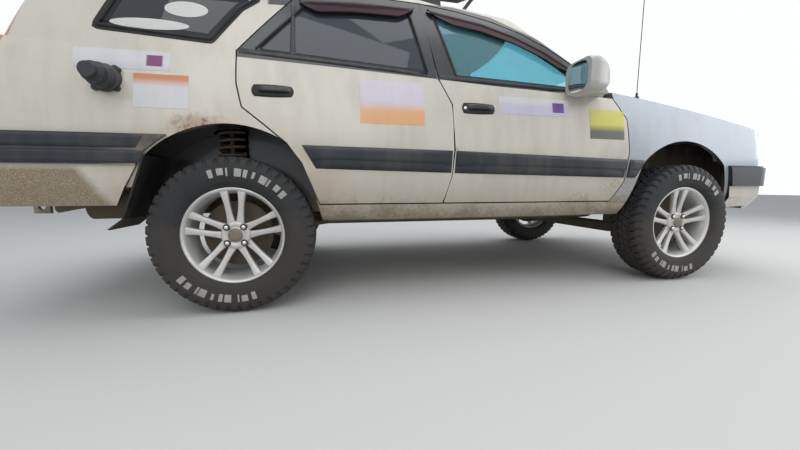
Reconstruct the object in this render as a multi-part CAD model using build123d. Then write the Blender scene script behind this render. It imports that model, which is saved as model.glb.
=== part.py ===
from build123d import *
from math import asin, cos, degrees, pi, radians, sin, sqrt, tan
import os

# Rally car built from a small lifted four wheel drive estate.
# Millimetres, +X forward, +Y to the car's left, +Z up.
# The origin is on the ground under the middle of the car's length and width.

# Driving sizes of the whole car
half_length = 2145
wheelbase = 2465
front_axle_x = 1317.5
rear_axle_x = front_axle_x - wheelbase
wheel_y = 745
kingpin_y = 637
tyre_radius = 348
tyre_width = 216

# Clearances
panel_gap = 6
glass_gap = 0.3
seat_gap = 0.3
running_gap = 0.4

# Walls of the body
door_wall = 110
pillar_wall = 45
screen_wall = 60
roof_wall = 35
skin_wall = 22
glass_wall = 5
glass_depth = 4

# Heights of the body
sill_z = 405
door_bottom_z = 484
cabin_floor_z = 430
load_floor_z = 650
belt_front_z = 1040
belt_middle_z = 1070
belt_rear_z = 1150
roof_crown_z = 1568

# Lengths of the body
bulkhead_x = 960
bonnet_rear_x = 925
bonnet_rear_bow = 175
bonnet_front_x = 2040
roof_front_x = 335
hatch_x = -1790
hatch_half_width = 612

# Outlines of the lower body seen from above, one for each height
# z, nose x, front corner x, front corner y, side y, rear corner x, rear corner y, tail x
lower_sections = [
    (360, 2058, 1985, 700, 752, -2030, 710, -2070),
    (480, 2072, 2000, 775, 824, -2050, 780, -2090),
    (700, 2082, 2010, 795, 845, -2060, 805, -2100),
    (900, 2072, 2000, 780, 831, -2055, 790, -2098),
    (1080, 2050, 1980, 742, 794, -2045, 750, -2088),
    (1200, 2030, 1960, 700, 752, -2035, 710, -2075),
]
lower_side_x = -100
lower_front_corner = 150
lower_rear_corner = 110

# Outlines of the windowed upper body seen from above, with the same columns
upper_sections = [
    (1000, 1165, 985, 752, 806, -2040, 745, -2085),
    (1270, 765, 580, 686, 730, -1945, 690, -1990),
    (1600, 235, 85, 560, 592, -1815, 575, -1860),
]
upper_side_x = -300
upper_front_corner = 45
upper_rear_corner = 80


def outline(row, side_x, front_corner, rear_corner, side_in, front_in, rear_in):
    """One level outline: four bowed sides with rounded corners, moved in by the given insets."""
    z, nose, front_x, front_y, side_y, rear_x, rear_y, tail = row
    front = (front_x - front_in, front_y - side_in)
    rear = (rear_x + rear_in, rear_y - side_in)
    with BuildSketch(Plane.XY.offset(z)) as sketch:
        with BuildLine():
            ThreePointArc(front, (nose - front_in, 0), (front[0], -front[1]))
            ThreePointArc((front[0], -front[1]), (side_x, side_in - side_y), (rear[0], -rear[1]))
            ThreePointArc((rear[0], -rear[1]), (tail + rear_in, 0), rear)
            ThreePointArc(rear, (side_x, side_y - side_in), front)
        make_face()
        fillet([v for v in sketch.vertices() if v.X > 0], front_corner)
        fillet([v for v in sketch.vertices() if v.X < 0 and abs(v.X - rear[0]) < 1], rear_corner)
    return sketch.sketch.faces()[0]


def lower_form(side_in=0, front_in=0, rear_in=0, shrink=0):
    """The body below the windows as one rounded form, moved in by the given insets."""
    return loft([
        outline(row, lower_side_x, lower_front_corner - shrink, lower_rear_corner - shrink,
                side_in, front_in, rear_in)
        for row in lower_sections
    ])


def upper_form(side_in=0, front_in=0, rear_in=0, shrink=0):
    """The windowed body above the belt as one rounded form, moved in by the given insets."""
    return loft([
        outline(row, upper_side_x, upper_front_corner - shrink, upper_rear_corner - shrink,
                side_in, front_in, rear_in)
        for row in upper_sections
    ])


def circle_through(first, second, third):
    """Centre and radius of the circle through three points."""
    (ax, ay), (bx, by), (cx, cy) = first, second, third
    twice_area = 2 * (ax * (by - cy) + bx * (cy - ay) + cx * (ay - by))
    a2, b2, c2 = ax * ax + ay * ay, bx * bx + by * by, cx * cx + cy * cy
    x = (a2 * (by - cy) + b2 * (cy - ay) + c2 * (ay - by)) / twice_area
    y = (a2 * (cx - bx) + b2 * (ax - cx) + c2 * (bx - ax)) / twice_area
    return x, y, sqrt((ax - x) ** 2 + (ay - y) ** 2)


def dome(line, rise, half_width, inset=0, depth=700, start=-12, end=12):
    """A block under a doubly curved top: a crown arc turned about a far cross axis.

    line holds three points (x, z) of the top on the middle plane, rise is the crown's height over
    half_width, and inset lowers the top.
    """
    x, z, radius = circle_through(*line)
    crown = (half_width ** 2 + rise ** 2) / (2 * rise)
    reach = 1100
    fall = crown - sqrt(crown ** 2 - reach ** 2)
    top = radius - inset
    with BuildSketch(Plane.YZ) as sketch:
        with BuildLine():
            ThreePointArc((-reach, top - fall), (0, top), (reach, top - fall))
            Polyline((reach, top - fall), (reach, top - depth), (-reach, top - depth),
                     (-reach, top - fall))
        make_face()
    block = revolve(sketch.sketch, Axis.Y, end - start).rotate(Axis.Y, start)
    return block.translate((x, 0, z))


def box(x0, x1, y0, y1, z0, z1):
    """A box between two corners."""
    size = Box(x1 - x0, y1 - y0, z1 - z0)
    return size.translate(((x0 + x1) / 2, (y0 + y1) / 2, (z0 + z1) / 2))


def side_prism(points, y0, y1, corner=0):
    """A side view outline (x, z) carried across the car from y0 to y1."""
    with BuildSketch(Plane.XZ) as sketch:
        with BuildLine():
            Polyline(*points, close=True)
        make_face()
        if corner:
            fillet(sketch.vertices(), corner)
    return extrude(sketch.sketch, -(y1 - y0)).translate((0, y0, 0))


def plan_prism(points, z0, z1, corner=0):
    """A plan view outline (x, y) carried up from z0 to z1."""
    with BuildSketch(Plane.XY) as sketch:
        with BuildLine():
            Polyline(*points, close=True)
        make_face()
        if corner:
            fillet(sketch.vertices(), corner)
    return extrude(sketch.sketch, z1 - z0).translate((0, 0, z0))


def cross_prism(points, x0, x1, corner=0):
    """A front view outline (y, z) carried along the car from x0 to x1."""
    with BuildSketch(Plane.YZ) as sketch:
        with BuildLine():
            Polyline(*points, close=True)
        make_face()
        if corner:
            fillet(sketch.vertices(), corner)
    return extrude(sketch.sketch, x1 - x0).translate((x0, 0, 0))


def rod(start, end, radius):
    """A round bar between two points."""
    axis = Vector(*end) - Vector(*start)
    return extrude(Plane(origin=start, z_dir=axis) * Circle(radius), axis.length)


def pipe(start, end, radius, wall):
    """A round tube between two points."""
    axis = Vector(*end) - Vector(*start)
    ring = Circle(radius) - Circle(radius - wall)
    return extrude(Plane(origin=start, z_dir=axis) * ring, axis.length)


def other_side(shape):
    """The same shape on the other side of the car."""
    return shape.mirror(Plane.XZ)


def save(name, *shapes):
    """Write one named piece; several shapes stay separate solids of that piece."""
    solids = [solid for shape in shapes for solid in shape.solids()]
    export_step(solids[0] if len(solids) == 1 else Compound(solids), f"parts/{name}.step")


os.makedirs("parts", exist_ok=True)

# Outer form of the body
bonnet_line = ((980, 1095), (1500, 1023), (2050, 925))
bonnet_rise = 35
bonnet_half_width = 750
roof_line = ((300, roof_crown_z - 50), (-800, roof_crown_z), (-1850, roof_crown_z - 46))
roof_rise = 42
roof_half_width = 600
belt_line = ((-2200, belt_rear_z + 5), (-160, belt_middle_z), (1000, belt_front_z))


def belt_block(inset=0):
    """Everything below the belt line, which rises gently to the rear."""
    x, z, radius = circle_through(*belt_line)
    front, middle, rear = belt_line[2], belt_line[1], belt_line[0]
    with BuildSketch(Plane.XZ) as sketch:
        with BuildLine():
            ThreePointArc((rear[0], rear[1] - inset), (middle[0], middle[1] - inset),
                          (front[0], front[1] - inset))
            Polyline((front[0], front[1] - inset), (front[0], 300), (rear[0], 300),
                     (rear[0], rear[1] - inset))
        make_face()
    return extrude(sketch.sketch, 1000, both=True)


lower_outer = lower_form()
lower_inner = lower_form(door_wall, door_wall, screen_wall, 60)
upper_outer = upper_form()
upper_inner = upper_form(pillar_wall, screen_wall, screen_wall, 30)
roof_outer = dome(roof_line, roof_rise, roof_half_width)
roof_inner = dome(roof_line, roof_rise, roof_half_width, roof_wall)

cabin_low = lower_outer & belt_block()
cabin_high = upper_outer & roof_outer
cabin_form = cabin_low + cabin_high
cabin_space = (lower_inner & belt_block() & box(-2300, bulkhead_x, -900, 900, cabin_floor_z, 1300)) + (
    upper_inner & roof_inner & box(-2300, 1200, -900, 900, 1000, 1700)
)
cabin_shell = cabin_form - cabin_space

# Skins and glass, one form inside the other
lower_skin = lower_form(skin_wall, skin_wall, skin_wall, skin_wall)
glass_out = upper_form(glass_depth, 2 * glass_depth, glass_depth, 3)
glass_in = upper_form(glass_depth + glass_wall, 2 * (glass_depth + glass_wall), glass_depth + glass_wall, 6)
upper_glass = glass_out - glass_in

# Door seams on the right side: x, distance out from the middle, z, and the edge's draft.
# A draft of -1 moves the edge rearward on its way out, so that the door can swing past the pillar.
edge_draft = tan(radians(20))
draft_outer_y = 930
door_split = panel_gap + 1
draft_inner_y = 500
front_door_seam = [
    (-265, 640, 1483, -1),
    (-60, 640, 1468, 0),
    (140, 640, 1436, 0),
    (300, 645, 1392, 0),
    (460, 665, 1320, 0),
    (785, 745, 1128, 0),
    (800, 800, 1035, 0),
    (880, 826, 930, 0),
    (897, 845, 760, 0),
    (874, 838, 590, 0),
    (800, 825, door_bottom_z, 0),
    (-182, 825, door_bottom_z, -1),
    (-143, 840, 618, -1),
    (-132, 846, 740, -1),
    (-141, 822, 955, -1),
    (-200, 797, 1070, -1),
]
rear_door_seam = [
    (-835, 650, 1452, -1),
    (-600, 640, 1478, 0),
    (-265 - door_split, 640, 1483, 1),
    (-200 - door_split, 797, 1070, 1),
    (-141 - door_split, 822, 955, 1),
    (-132 - door_split, 846, 740, 1),
    (-143 - door_split, 840, 618, 1),
    (-182 - door_split, 825, door_bottom_z, 1),
    (-780, 825, door_bottom_z, -1),
    (-808, 836, 560, -1),
    (-850, 842, 666, -1),
    (-915, 845, 753, -1),
    (-1010, 840, 833, -1),
    (-1092, 830, 900, -1),
    (-1112, 812, 1000, -1),
    (-1113, 775, 1142, -1),
]


def seam_face(seam, y, grow):
    """The seam's outline on the side plane at distance y, grown by a gap."""
    points = [(x + draft * (y - seam_y) * edge_draft, z) for x, seam_y, z, draft in seam]
    with BuildSketch(Plane.XZ.offset(y)) as sketch:
        with BuildLine():
            Polyline(*points, close=True)
        make_face()
        if grow:
            offset(amount=grow, kind=Kind.INTERSECTION)
    return sketch.sketch.faces()[0]


def seam_cutter(seam, grow):
    """The solid that a seam cuts out of the right side of the body."""
    return loft([seam_face(seam, draft_outer_y, grow), seam_face(seam, draft_inner_y, grow)], ruled=True)


front_door_cut = seam_cutter(front_door_seam, 0)
rear_door_cut = seam_cutter(rear_door_seam, 0)
front_door_hole = seam_cutter(front_door_seam, panel_gap)
rear_door_hole = seam_cutter(rear_door_seam, panel_gap)

# Side windows, right side: outlines (x, z) seen from the side
front_window = [(-205, 1432), (60, 1405), (250, 1358), (420, 1290), (610, 1180), (660, 1088), (-110, 1100)]
rear_window = [(-815, 1402), (-330, 1432), (-255, 1105), (-1040, 1150)]
quarter_window = [(-1030, 1400), (-1100, 1345), (-1215, 1185), (-1640, 1215), (-1560, 1400)]
window_corner = 18


def window_cut(points, grow=0):
    """The hole that a side window makes in the right side."""
    with BuildSketch(Plane.XZ.offset(500)) as sketch:
        with BuildLine():
            Polyline(*points, close=True)
        make_face()
        if grow:
            offset(amount=grow, kind=Kind.INTERSECTION)
        fillet(sketch.vertices(), window_corner)
    return extrude(sketch.sketch, 430)


# Wheel arches: an arc over the wheel with straight legs flaring to the sill
arch_top_z = 826
arch_leg_z = 690
arch_inner_y = 560
arch_wall = 18


def arch_face(axle_x, grow):
    """The arch's outline in side view, grown by a wall."""
    low_z = 300
    front_leg, rear_leg = 310, -318
    with BuildSketch(Plane.XZ) as sketch:
        with BuildLine():
            ThreePointArc((axle_x + rear_leg - grow, arch_leg_z), (axle_x, arch_top_z + grow),
                          (axle_x + front_leg + grow, arch_leg_z))
            Polyline((axle_x + front_leg + grow, arch_leg_z), (axle_x + 345 + grow, 540),
                     (axle_x + 405 + grow, low_z), (axle_x - 460 - grow, low_z),
                     (axle_x + rear_leg - grow, arch_leg_z))
        make_face()
    return sketch.sketch


def arch_cut(axle_x, y0, y1, grow=0):
    """The wheel arch carried across the car from y0 to y1."""
    return extrude(arch_face(axle_x, grow), -(y1 - y0)).translate((0, y0, 0))


# Tailgate seam seen from behind, and its window
hatch_bottom_z = 742
hatch_seam = [(-hatch_half_width, hatch_bottom_z), (hatch_half_width, hatch_bottom_z), (hatch_half_width, 1120),
              (555, 1640), (-555, 1640), (-hatch_half_width, 1120)]
hatch_window = [(-520, 1110), (520, 1110), (478, 1452), (-478, 1452)]
screen_window = [(-712, 1072), (712, 1072), (572, 1476), (-572, 1476)]
screen_corner = 30

hatch_zone = cross_prism(hatch_seam, -2300, -1700) & side_prism(
    [(-2300, 700), (-1950, 700), (-1880, 1300), (hatch_x, 1560), (hatch_x, 1700), (-2300, 1700)], -800, 800
)
hatch_hole = cross_prism(
    [(-612 - panel_gap, hatch_bottom_z - panel_gap), (612 + panel_gap, hatch_bottom_z - panel_gap),
     (612 + panel_gap, 1120), (555 + panel_gap, 1640), (-555 - panel_gap, 1640), (-612 - panel_gap, 1120)],
    -2300, -1700,
) & side_prism(
    [(-2300, 700), (-1950 + panel_gap, 700), (-1880 + panel_gap, 1300), (hatch_x + panel_gap, 1560),
     (hatch_x + panel_gap, 1700), (-2300, 1700)], -800, 800
)
hatch_window_cut = cross_prism(hatch_window, -2300, -1750, screen_corner)
screen_cut = cross_prism(screen_window, 150, 1300, screen_corner)

# Bonnet outline
bonnet_outer = dome(bonnet_line, bonnet_rise, bonnet_half_width)
bonnet_inner = dome(bonnet_line, bonnet_rise, bonnet_half_width, skin_wall)
front_skin = (lower_outer & bonnet_outer) - (lower_skin & bonnet_inner)
lamp_bottom_z = 738
lamp_top_z = 878
lamp_rear_x = 1925
grille_half_width = 335
bonnet_side_rear = 712
bonnet_side_front = 655


def bonnet_plan(grow):
    """The bonnet's outline from above, grown by a gap."""
    rear = bonnet_rear_x - grow
    with BuildSketch(Plane.XY) as sketch:
        with BuildLine():
            ThreePointArc((rear, bonnet_side_rear + grow), (rear + bonnet_rear_bow, 0),
                          (rear, -bonnet_side_rear - grow))
            Polyline((rear, -bonnet_side_rear - grow), (1930, -bonnet_side_front - grow),
                     (2300, -bonnet_side_front + 90 - grow), (2300, bonnet_side_front - 90 + grow),
                     (1930, bonnet_side_front + grow), (rear, bonnet_side_rear + grow))
        make_face()
    return extrude(sketch.sketch, 1300)


lamp_depth = 32
rear_skirt_z = 560

# Roof panel between the two side rails
rail_y = 556
roof_panel = cabin_shell & box(-2300, 700, -rail_y, rail_y, 1440, 1700)
roof_panel = roof_panel - hatch_hole - screen_cut
save("roof", roof_panel)

# One body side: sill, pillars, roof rail and rear quarter with its wheel house
side_zone = box(-2300, 985, -900, -rail_y, sill_z, 1700) - box(-2300, 985, -640, 0, sill_z, 1000)
body_side = cabin_shell & side_zone
arch_liner = arch_cut(rear_axle_x, -800, -arch_inner_y + arch_wall, arch_wall) & box(
    -2000, 0, -800, 0, cabin_floor_z, 1200
)
body_side = body_side + arch_liner
tower_x = rear_axle_x - 42
tower_y = 605
tower_top_z = 905
body_side = body_side + Cylinder(92, 120).translate((tower_x, -tower_y, tower_top_z + 14 - 60))
body_side = body_side - arch_cut(rear_axle_x, -900, -arch_inner_y) - arch_cut(front_axle_x, -900, -400)
body_side = body_side - Cylinder(78, 240).translate((tower_x, -tower_y, tower_top_z - 120))
body_side = body_side - box(-2300, -1480, -900, 0, 300, rear_skirt_z)
tail_lamp_outline = [(-900, 800), (-624, 800), (-624, 1120), (-602, 1400), (-900, 1400)]
tail_lamp_zone = cross_prism(tail_lamp_outline, -2300, -1700)
tail_lamp_zone = tail_lamp_zone & side_prism(
    [(-2300, 800), (-1990, 800), (-1985, 1000), (-1880, 1400), (-2300, 1400)], -900, 0)
pocket_form = (lower_form(lamp_depth, lamp_depth, lamp_depth, lamp_depth) & belt_block()) + upper_form(
    lamp_depth, lamp_depth, lamp_depth, lamp_depth)
tail_lamp = (cabin_form - pocket_form) & tail_lamp_zone
body_side = body_side - tail_lamp
front_end = box(770, 1100, -900, 0, door_bottom_z - 14, 1200) - lower_skin - upper_outer
body_side = body_side - front_end
body_side = body_side - front_door_hole - rear_door_hole
body_side = body_side - window_cut(quarter_window) - hatch_hole - screen_cut
bonnet_under = dome(bonnet_line, bonnet_rise, bonnet_half_width, skin_wall + panel_gap)
body_side = body_side - ((bonnet_plan(panel_gap) - bonnet_under) & box(880, 1100, -900, 0, 1000, 1200))
save("body_side_right", body_side)
save("body_side_left", other_side(body_side))

# Doors
front_door = cabin_shell & front_door_cut
front_door = front_door - window_cut(front_window)
rear_door = cabin_shell & rear_door_cut
rear_door = rear_door - window_cut(rear_window)
save("door_front_right", front_door)
save("door_rear_right", rear_door)
save("door_front_left", other_side(front_door))
save("door_rear_left", other_side(rear_door))
front_glass = upper_glass & window_cut(front_window, -glass_gap)
rear_glass = upper_glass & window_cut(rear_window, -glass_gap)
save("glass_front_right", front_glass)
save("glass_rear_right", rear_glass)
save("glass_front_left", other_side(front_glass))
save("glass_rear_left", other_side(rear_glass))

# Tailgate
tailgate = (cabin_shell & hatch_zone) - hatch_window_cut
tailgate_glass = upper_glass & cross_prism(
    [(y - glass_gap * (1 if y > 0 else -1), z + glass_gap * (1 if z < 1200 else -1)) for y, z in hatch_window],
    -2300, -1750, screen_corner)
save("tailgate", tailgate)
save("tailgate_glass", tailgate_glass)

# Windscreen and quarter windows
windscreen = upper_glass & cross_prism(
    [(y - glass_gap * (1 if y > 0 else -1), z + glass_gap * (1 if z < 1200 else -1)) for y, z in screen_window],
    150, 1300, screen_corner)
quarter_glass = upper_glass & window_cut(quarter_window, -glass_gap)
save("fixed_windows", windscreen, quarter_glass, other_side(quarter_glass))

# Bonnet and front wings
lamp_band = box(1900, 2300, -900, 900, 300, lamp_top_z + panel_gap)
bonnet = (front_skin & bonnet_plan(0)) - lamp_band
save("bonnet", bonnet)

fender_zone = box(760, 2300, -900, 0, door_bottom_z - 14, 1300)
fender = (front_skin & fender_zone) - (bonnet_plan(panel_gap) & box(800, 2300, -900, 900, lamp_top_z, 1400))
fender = fender - front_door_hole - upper_outer - body_side - arch_cut(front_axle_x, -900, -400)
fender = fender - box(lamp_rear_x, 2300, -900, 0, lamp_bottom_z, lamp_top_z)
fender = fender - box(1700, 2300, -grille_half_width, 0, 300, 1200)
save("front_wings", fender, other_side(fender))

# Lamps and grille in the nose
lamp_out = lower_form(3, 4, 3, 3)
lamp_in = lower_form(93, 84, 93, 80)
lamp_ring = (lamp_out - lamp_in) & bonnet_inner
headlamp = lamp_ring & box(lamp_rear_x + 1, 2300, -900, -grille_half_width - 1,
                           lamp_bottom_z + 1, lamp_top_z - 1)
save("headlamps", headlamp, other_side(headlamp))
grille_bottom_z = 700
grille_form = (lower_form(6, 8, 6, 3) - lower_form(40, 34, 40, 30)) & box(
    1900, 2300, -grille_half_width + 1, grille_half_width - 1, grille_bottom_z, lamp_top_z - 1
)
grille_bars = 4
grille_frame = 18
grille_pitch = (lamp_top_z - grille_bottom_z - grille_frame) / (grille_bars + 1)
for bar in range(grille_bars + 1):
    low = grille_bottom_z + grille_frame + bar * grille_pitch
    for side in (-1, 1):
        inner, outer = sorted((side * 6, side * (grille_half_width - grille_frame)))
        grille_form = grille_form - box(1900, 2300, inner, outer, low, low + grille_pitch - 12)
save("grille", grille_form)

# Bumpers: a painted lower part with a proud dark band above it
front_bumper_rows = [
    (418, 2100, 2015, 745, 800, -2000, 745, -2100),
    (500, 2132, 2040, 795, 846, -2000, 795, -2132),
    (690, 2137, 2043, 806, 856, -2000, 806, -2137),
]
front_band_rows = [
    (566, 2145, 2050, 814, 864, -2000, 814, -2145),
    (680, 2145, 2050, 814, 864, -2000, 814, -2145),
]
rear_bumper_rows = [
    (485, 1900, 1800, 812, 836, -2045, 794, -2112),
    (560, 1900, 1800, 830, 852, -2062, 812, -2134),
    (770, 1900, 1800, 834, 857, -2066, 817, -2137),
]
rear_band_rows = [
    (650, 1900, 1800, 840, 864, -2074, 824, -2145),
    (772, 1900, 1800, 840, 864, -2074, 824, -2145),
]


def bumper_form(rows, inset):
    """A bumper's rounded form from its level outlines, moved in by an inset."""
    return loft([
        outline(row, lower_side_x, 165 - inset, 125 - inset, inset, inset, inset)
        for row in rows
    ], ruled=True)


bumper_wall = 30
front_hollow = bumper_form(front_bumper_rows, bumper_wall) & box(1500, 2300, -900, 900, 300, 660)
front_bumper = bumper_form(front_bumper_rows, 0) + bumper_form(front_band_rows, 0)
front_bumper = front_bumper - front_hollow - lower_outer
front_bumper = front_bumper & side_prism([(1662, 690), (1712, 400), (2300, 400), (2300, 690)], -900, 900)
front_bumper = front_bumper - box(2000, 2300, -360, 360, 470, 545)
rear_hollow = bumper_form(rear_bumper_rows, bumper_wall) & box(-2300, -1300, -900, 900, 400, 740)
rear_bumper = bumper_form(rear_bumper_rows, 0) + bumper_form(rear_band_rows, 0)
rear_bumper = rear_bumper - rear_hollow - lower_outer
rear_bumper = rear_bumper & side_prism(
    [(-1376, 775), (-1470, 700), (-1500, 640), (-1590, 480), (-2300, 480), (-2300, 775)], -900, 900)
save("front_bumper", front_bumper)
save("rear_bumper", rear_bumper)

# Tail lamps, upright on the rear corners
save("tail_lamps", tail_lamp, other_side(tail_lamp))

# Floor: front pan with its tunnel, rear load floor and the panel under the tailgate
floor_half_width = 639.7
heel_x = -745
floor_wall = 22
tunnel_half_width = 120
tunnel_z = 560
load_half_width = arch_inner_y - arch_wall - 0.3
front_floor = box(heel_x, bulkhead_x, -floor_half_width, floor_half_width,
                  cabin_floor_z - floor_wall, cabin_floor_z)
tunnel = box(heel_x, bulkhead_x, -tunnel_half_width, tunnel_half_width, cabin_floor_z - floor_wall, tunnel_z)
tunnel_space = box(heel_x - 100, bulkhead_x + 1, floor_wall - tunnel_half_width, tunnel_half_width - floor_wall,
                   cabin_floor_z - floor_wall - 1, tunnel_z - floor_wall)
heel_board = box(heel_x - floor_wall, heel_x, -floor_half_width, floor_half_width,
                 cabin_floor_z - floor_wall, load_floor_z)
load_floor = box(-2050, heel_x, -load_half_width, load_half_width, load_floor_z - floor_wall, load_floor_z)
load_floor += box(-2050, rear_axle_x - 500, -floor_half_width, floor_half_width,
                  load_floor_z - floor_wall, load_floor_z)
rear_panel = cabin_shell & box(-2300, -1900, -floor_half_width, floor_half_width,
                               rear_skirt_z, hatch_bottom_z - panel_gap)
wheel_house_radius = 410
wheel_house_wall = 14


def wheel_house(radius):
    """Balls about both kingpins that take in all that a steered front tyre sweeps."""
    centres = [(front_axle_x, side * kingpin_y, tyre_radius) for side in (-1, 1)]
    return [Sphere(radius).translate(centre) for centre in centres]


sill_rails = [box(heel_x, 900, side * 480 - 30, side * 480 + 30, 372, cabin_floor_z - floor_wall)
              for side in (-1, 1)]
floor_pan = front_floor + tunnel - tunnel_space + (heel_board - tunnel_space) + load_floor + rear_panel
rear_rails = [box(-2050, -1640, side * 520 - 30, side * 520 + 30, 570, load_floor_z - floor_wall)
              for side in (-1, 1)]
eye_bore = 15
rear_eye = box(-2072, -2008, -528, -512, 438, 575) - rod((-2040, -540, 470), (-2040, -500, 470), eye_bore)
floor_pan = floor_pan + sill_rails + rear_rails + rear_eye - body_side - other_side(body_side)
floor_pan = floor_pan - wheel_house(wheel_house_radius + wheel_house_wall + 0.3)
save("floor_pan", floor_pan)

# Bulkhead with the panel that carries the foot of the windscreen
bulkhead_wall = 18
bulkhead = box(bulkhead_x, bulkhead_x + bulkhead_wall, -floor_half_width, floor_half_width,
               cabin_floor_z, 1030)
bulkhead = bulkhead - box(bulkhead_x - 1, bulkhead_x + 50, -tunnel_half_width, tunnel_half_width,
                          400, tunnel_z - floor_wall)
scuttle = (dome(bonnet_line, bonnet_rise, bonnet_half_width, 34)
           - dome(bonnet_line, bonnet_rise, bonnet_half_width, 48)) & box(860, 1125, -690, 690, 900, 1200)
screen_foot = cabin_shell & box(700, 1200, -rail_y, rail_y, 1000, 1090)
screen_foot = screen_foot - screen_cut
bulkhead_top = box(bulkhead_x, 1120, -rail_y, rail_y, 1000, 1018) & (lower_outer & bonnet_inner)
bulkhead = bulkhead + screen_foot + bulkhead_top + (scuttle - upper_outer)
liner = Part() + wheel_house(wheel_house_radius + wheel_house_wall)
liner = liner & box(850, bulkhead_x + bulkhead_wall, -floor_half_width, floor_half_width,
                    cabin_floor_z - floor_wall, 700)
bulkhead = bulkhead + liner - wheel_house(wheel_house_radius)
bulkhead = bulkhead - body_side - other_side(body_side)
save("bulkhead", bulkhead)

# Front frame: two side members, inner wings with strut towers, lamp panel and the axle's crossmember
member_y = 415
member_half = 32
inner_wing_y = 455
kingpin_lean = radians(12)
strut_top_z = 872


def kingpin_at(z):
    """Distance out from the middle of the leaning kingpin axis at height z."""
    return kingpin_y - (z - tyre_radius) * tan(kingpin_lean)


frame_parts = []
for side in (-1, 1):
    frame_parts.append(box(bulkhead_x + bulkhead_wall, 2000, side * member_y - member_half,
                           side * member_y + member_half, 440, 540))
    wall_y = sorted((side * inner_wing_y, side * (inner_wing_y - 14)))
    frame_parts.append(box(bulkhead_x + bulkhead_wall, 1975, wall_y[0], wall_y[1], 500, 860))
    strut_tower_y = kingpin_at(strut_top_z)
    tower = Cylinder(88, 80).translate((front_axle_x, side * strut_tower_y, strut_top_z - 26))
    tower = tower - Cylinder(76, 80).translate((front_axle_x, side * strut_tower_y, strut_top_z - 40))
    frame_parts.append(tower)
front_frame = Part() + frame_parts
lamp_panel = box(1957, 1975, -600, 600, 430, 860) - box(1900, 2000, -330, 330, 500, 800)
front_frame = front_frame + lamp_panel
crossmember = box(1180, 1300, -440, 440, 250, 310)
for side in (-1, 1):
    crossmember += box(1190, 1290, side * member_y - 30, side * member_y + 30, 250, 460)
    arm_in = (1240, side * 380, 262)
    arm_out = (front_axle_x, side * kingpin_at(215), 222)
    crossmember += rod(arm_in, arm_out, 17)
    crossmember += rod((1480, side * 380, 300), arm_out, 13)
    crossmember += box(1455, 1505, side * member_y - 40, side * member_y + 30, 285, 460)
front_eye = box(1930, 1994, -423, -407, 352, 445) - rod((1962, -440, 386), (1962, -400, 386), eye_bore)
front_frame = front_frame + crossmember + front_eye - headlamp - other_side(headlamp)
save("front_frame", front_frame)

# Knuckles: a leaning strut with its hub carrier, turning about the kingpin axis
ball_radius = 40
hub_face_y = 775
stub_radius = 32
carrier_y0 = 690
carrier_y1 = 716


def knuckle(side):
    """The right or left hub carrier with its strut tube, spring seat and steering arm."""
    top = (front_axle_x, side * kingpin_at(strut_top_z - 16), strut_top_z - 16)
    seat = (front_axle_x, side * kingpin_at(752), 752)
    foot = (front_axle_x, side * kingpin_at(440), 440)
    shape = rod(foot, top, 22) + rod(seat, (front_axle_x, side * kingpin_at(760), 760), 62)
    ring0, ring1 = sorted((side * carrier_y0, side * carrier_y1))
    carrier = rod((front_axle_x, ring0, tyre_radius), (front_axle_x, ring1, tyre_radius), 62)
    y0, y1 = sorted((side * 600, side * carrier_y1))
    carrier = carrier + box(front_axle_x - 26, front_axle_x + 26, y0, y1, 400, 470)
    y0, y1 = sorted((side * 668, side * carrier_y1))
    carrier = carrier + box(front_axle_x - 24, front_axle_x + 24, y0, y1, 250, 300)
    y0, y1 = sorted((side * 640, side * carrier_y1))
    carrier = carrier + box(front_axle_x - 22, front_axle_x + 22, y0, y1, 250, 272)
    carrier = carrier - rod((front_axle_x, side * 600, tyre_radius), (front_axle_x, side * 720, tyre_radius),
                            stub_radius + running_gap)
    return shape + carrier


for side, name in ((-1, "right"), (1, "left")):
    piece = knuckle(side)
    save(f"knuckle_{name}", piece)

# Tyres with shoulder lugs, and five twin-spoke wheels with brake disc and hub
rim_radius = 203
rim_flange_radius = 209
rim_half_width = 85
lug_height = 9
lug_count = 30


def tyre_profile(crown):
    """Half section of the tyre: bead, bulging side wall and rounded shoulder up to the crown radius."""
    half = tyre_width / 2
    bead = rim_radius - 5.5
    with BuildSketch(Plane.XY) as sketch:
        with BuildLine():
            Polyline((rim_half_width - 30, bead), (rim_half_width - 10, bead), (rim_half_width - 10, 211),
                     (rim_half_width + 2, 216))
            ThreePointArc((rim_half_width + 2, 216), (half, 272), (half - 14, crown - 22))
            Polyline((half - 14, crown - 22), (half - 34, crown), (34 - half, crown), (14 - half, crown - 22))
            ThreePointArc((14 - half, crown - 22), (-half, 272), (-rim_half_width - 2, 216))
            Polyline((-rim_half_width - 2, 216), (10 - rim_half_width, 211), (10 - rim_half_width, bead),
                     (30 - rim_half_width, bead), (24 - half, 272), (40 - half, crown - 22),
                     (half - 40, crown - 22), (half - 24, 272), (rim_half_width - 30, bead))
        make_face()
    return sketch.sketch


def tyre():
    """A tyre about the X axis with its middle at the origin."""
    body = revolve(tyre_profile(tyre_radius - lug_height), Axis.X, 360)
    block = box(38, tyre_width / 2 - 6, -17, 17, tyre_radius - 34, tyre_radius)
    block = block & revolve(tyre_profile(tyre_radius), Axis.X, 360)
    lugs = []
    for index in range(lug_count):
        turn = 360 / lug_count
        lugs.append(block.rotate(Axis.X, index * turn))
        lugs.append(block.mirror(Plane.YZ).rotate(Axis.X, (index + 0.5) * turn))
    return body + lugs


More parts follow.
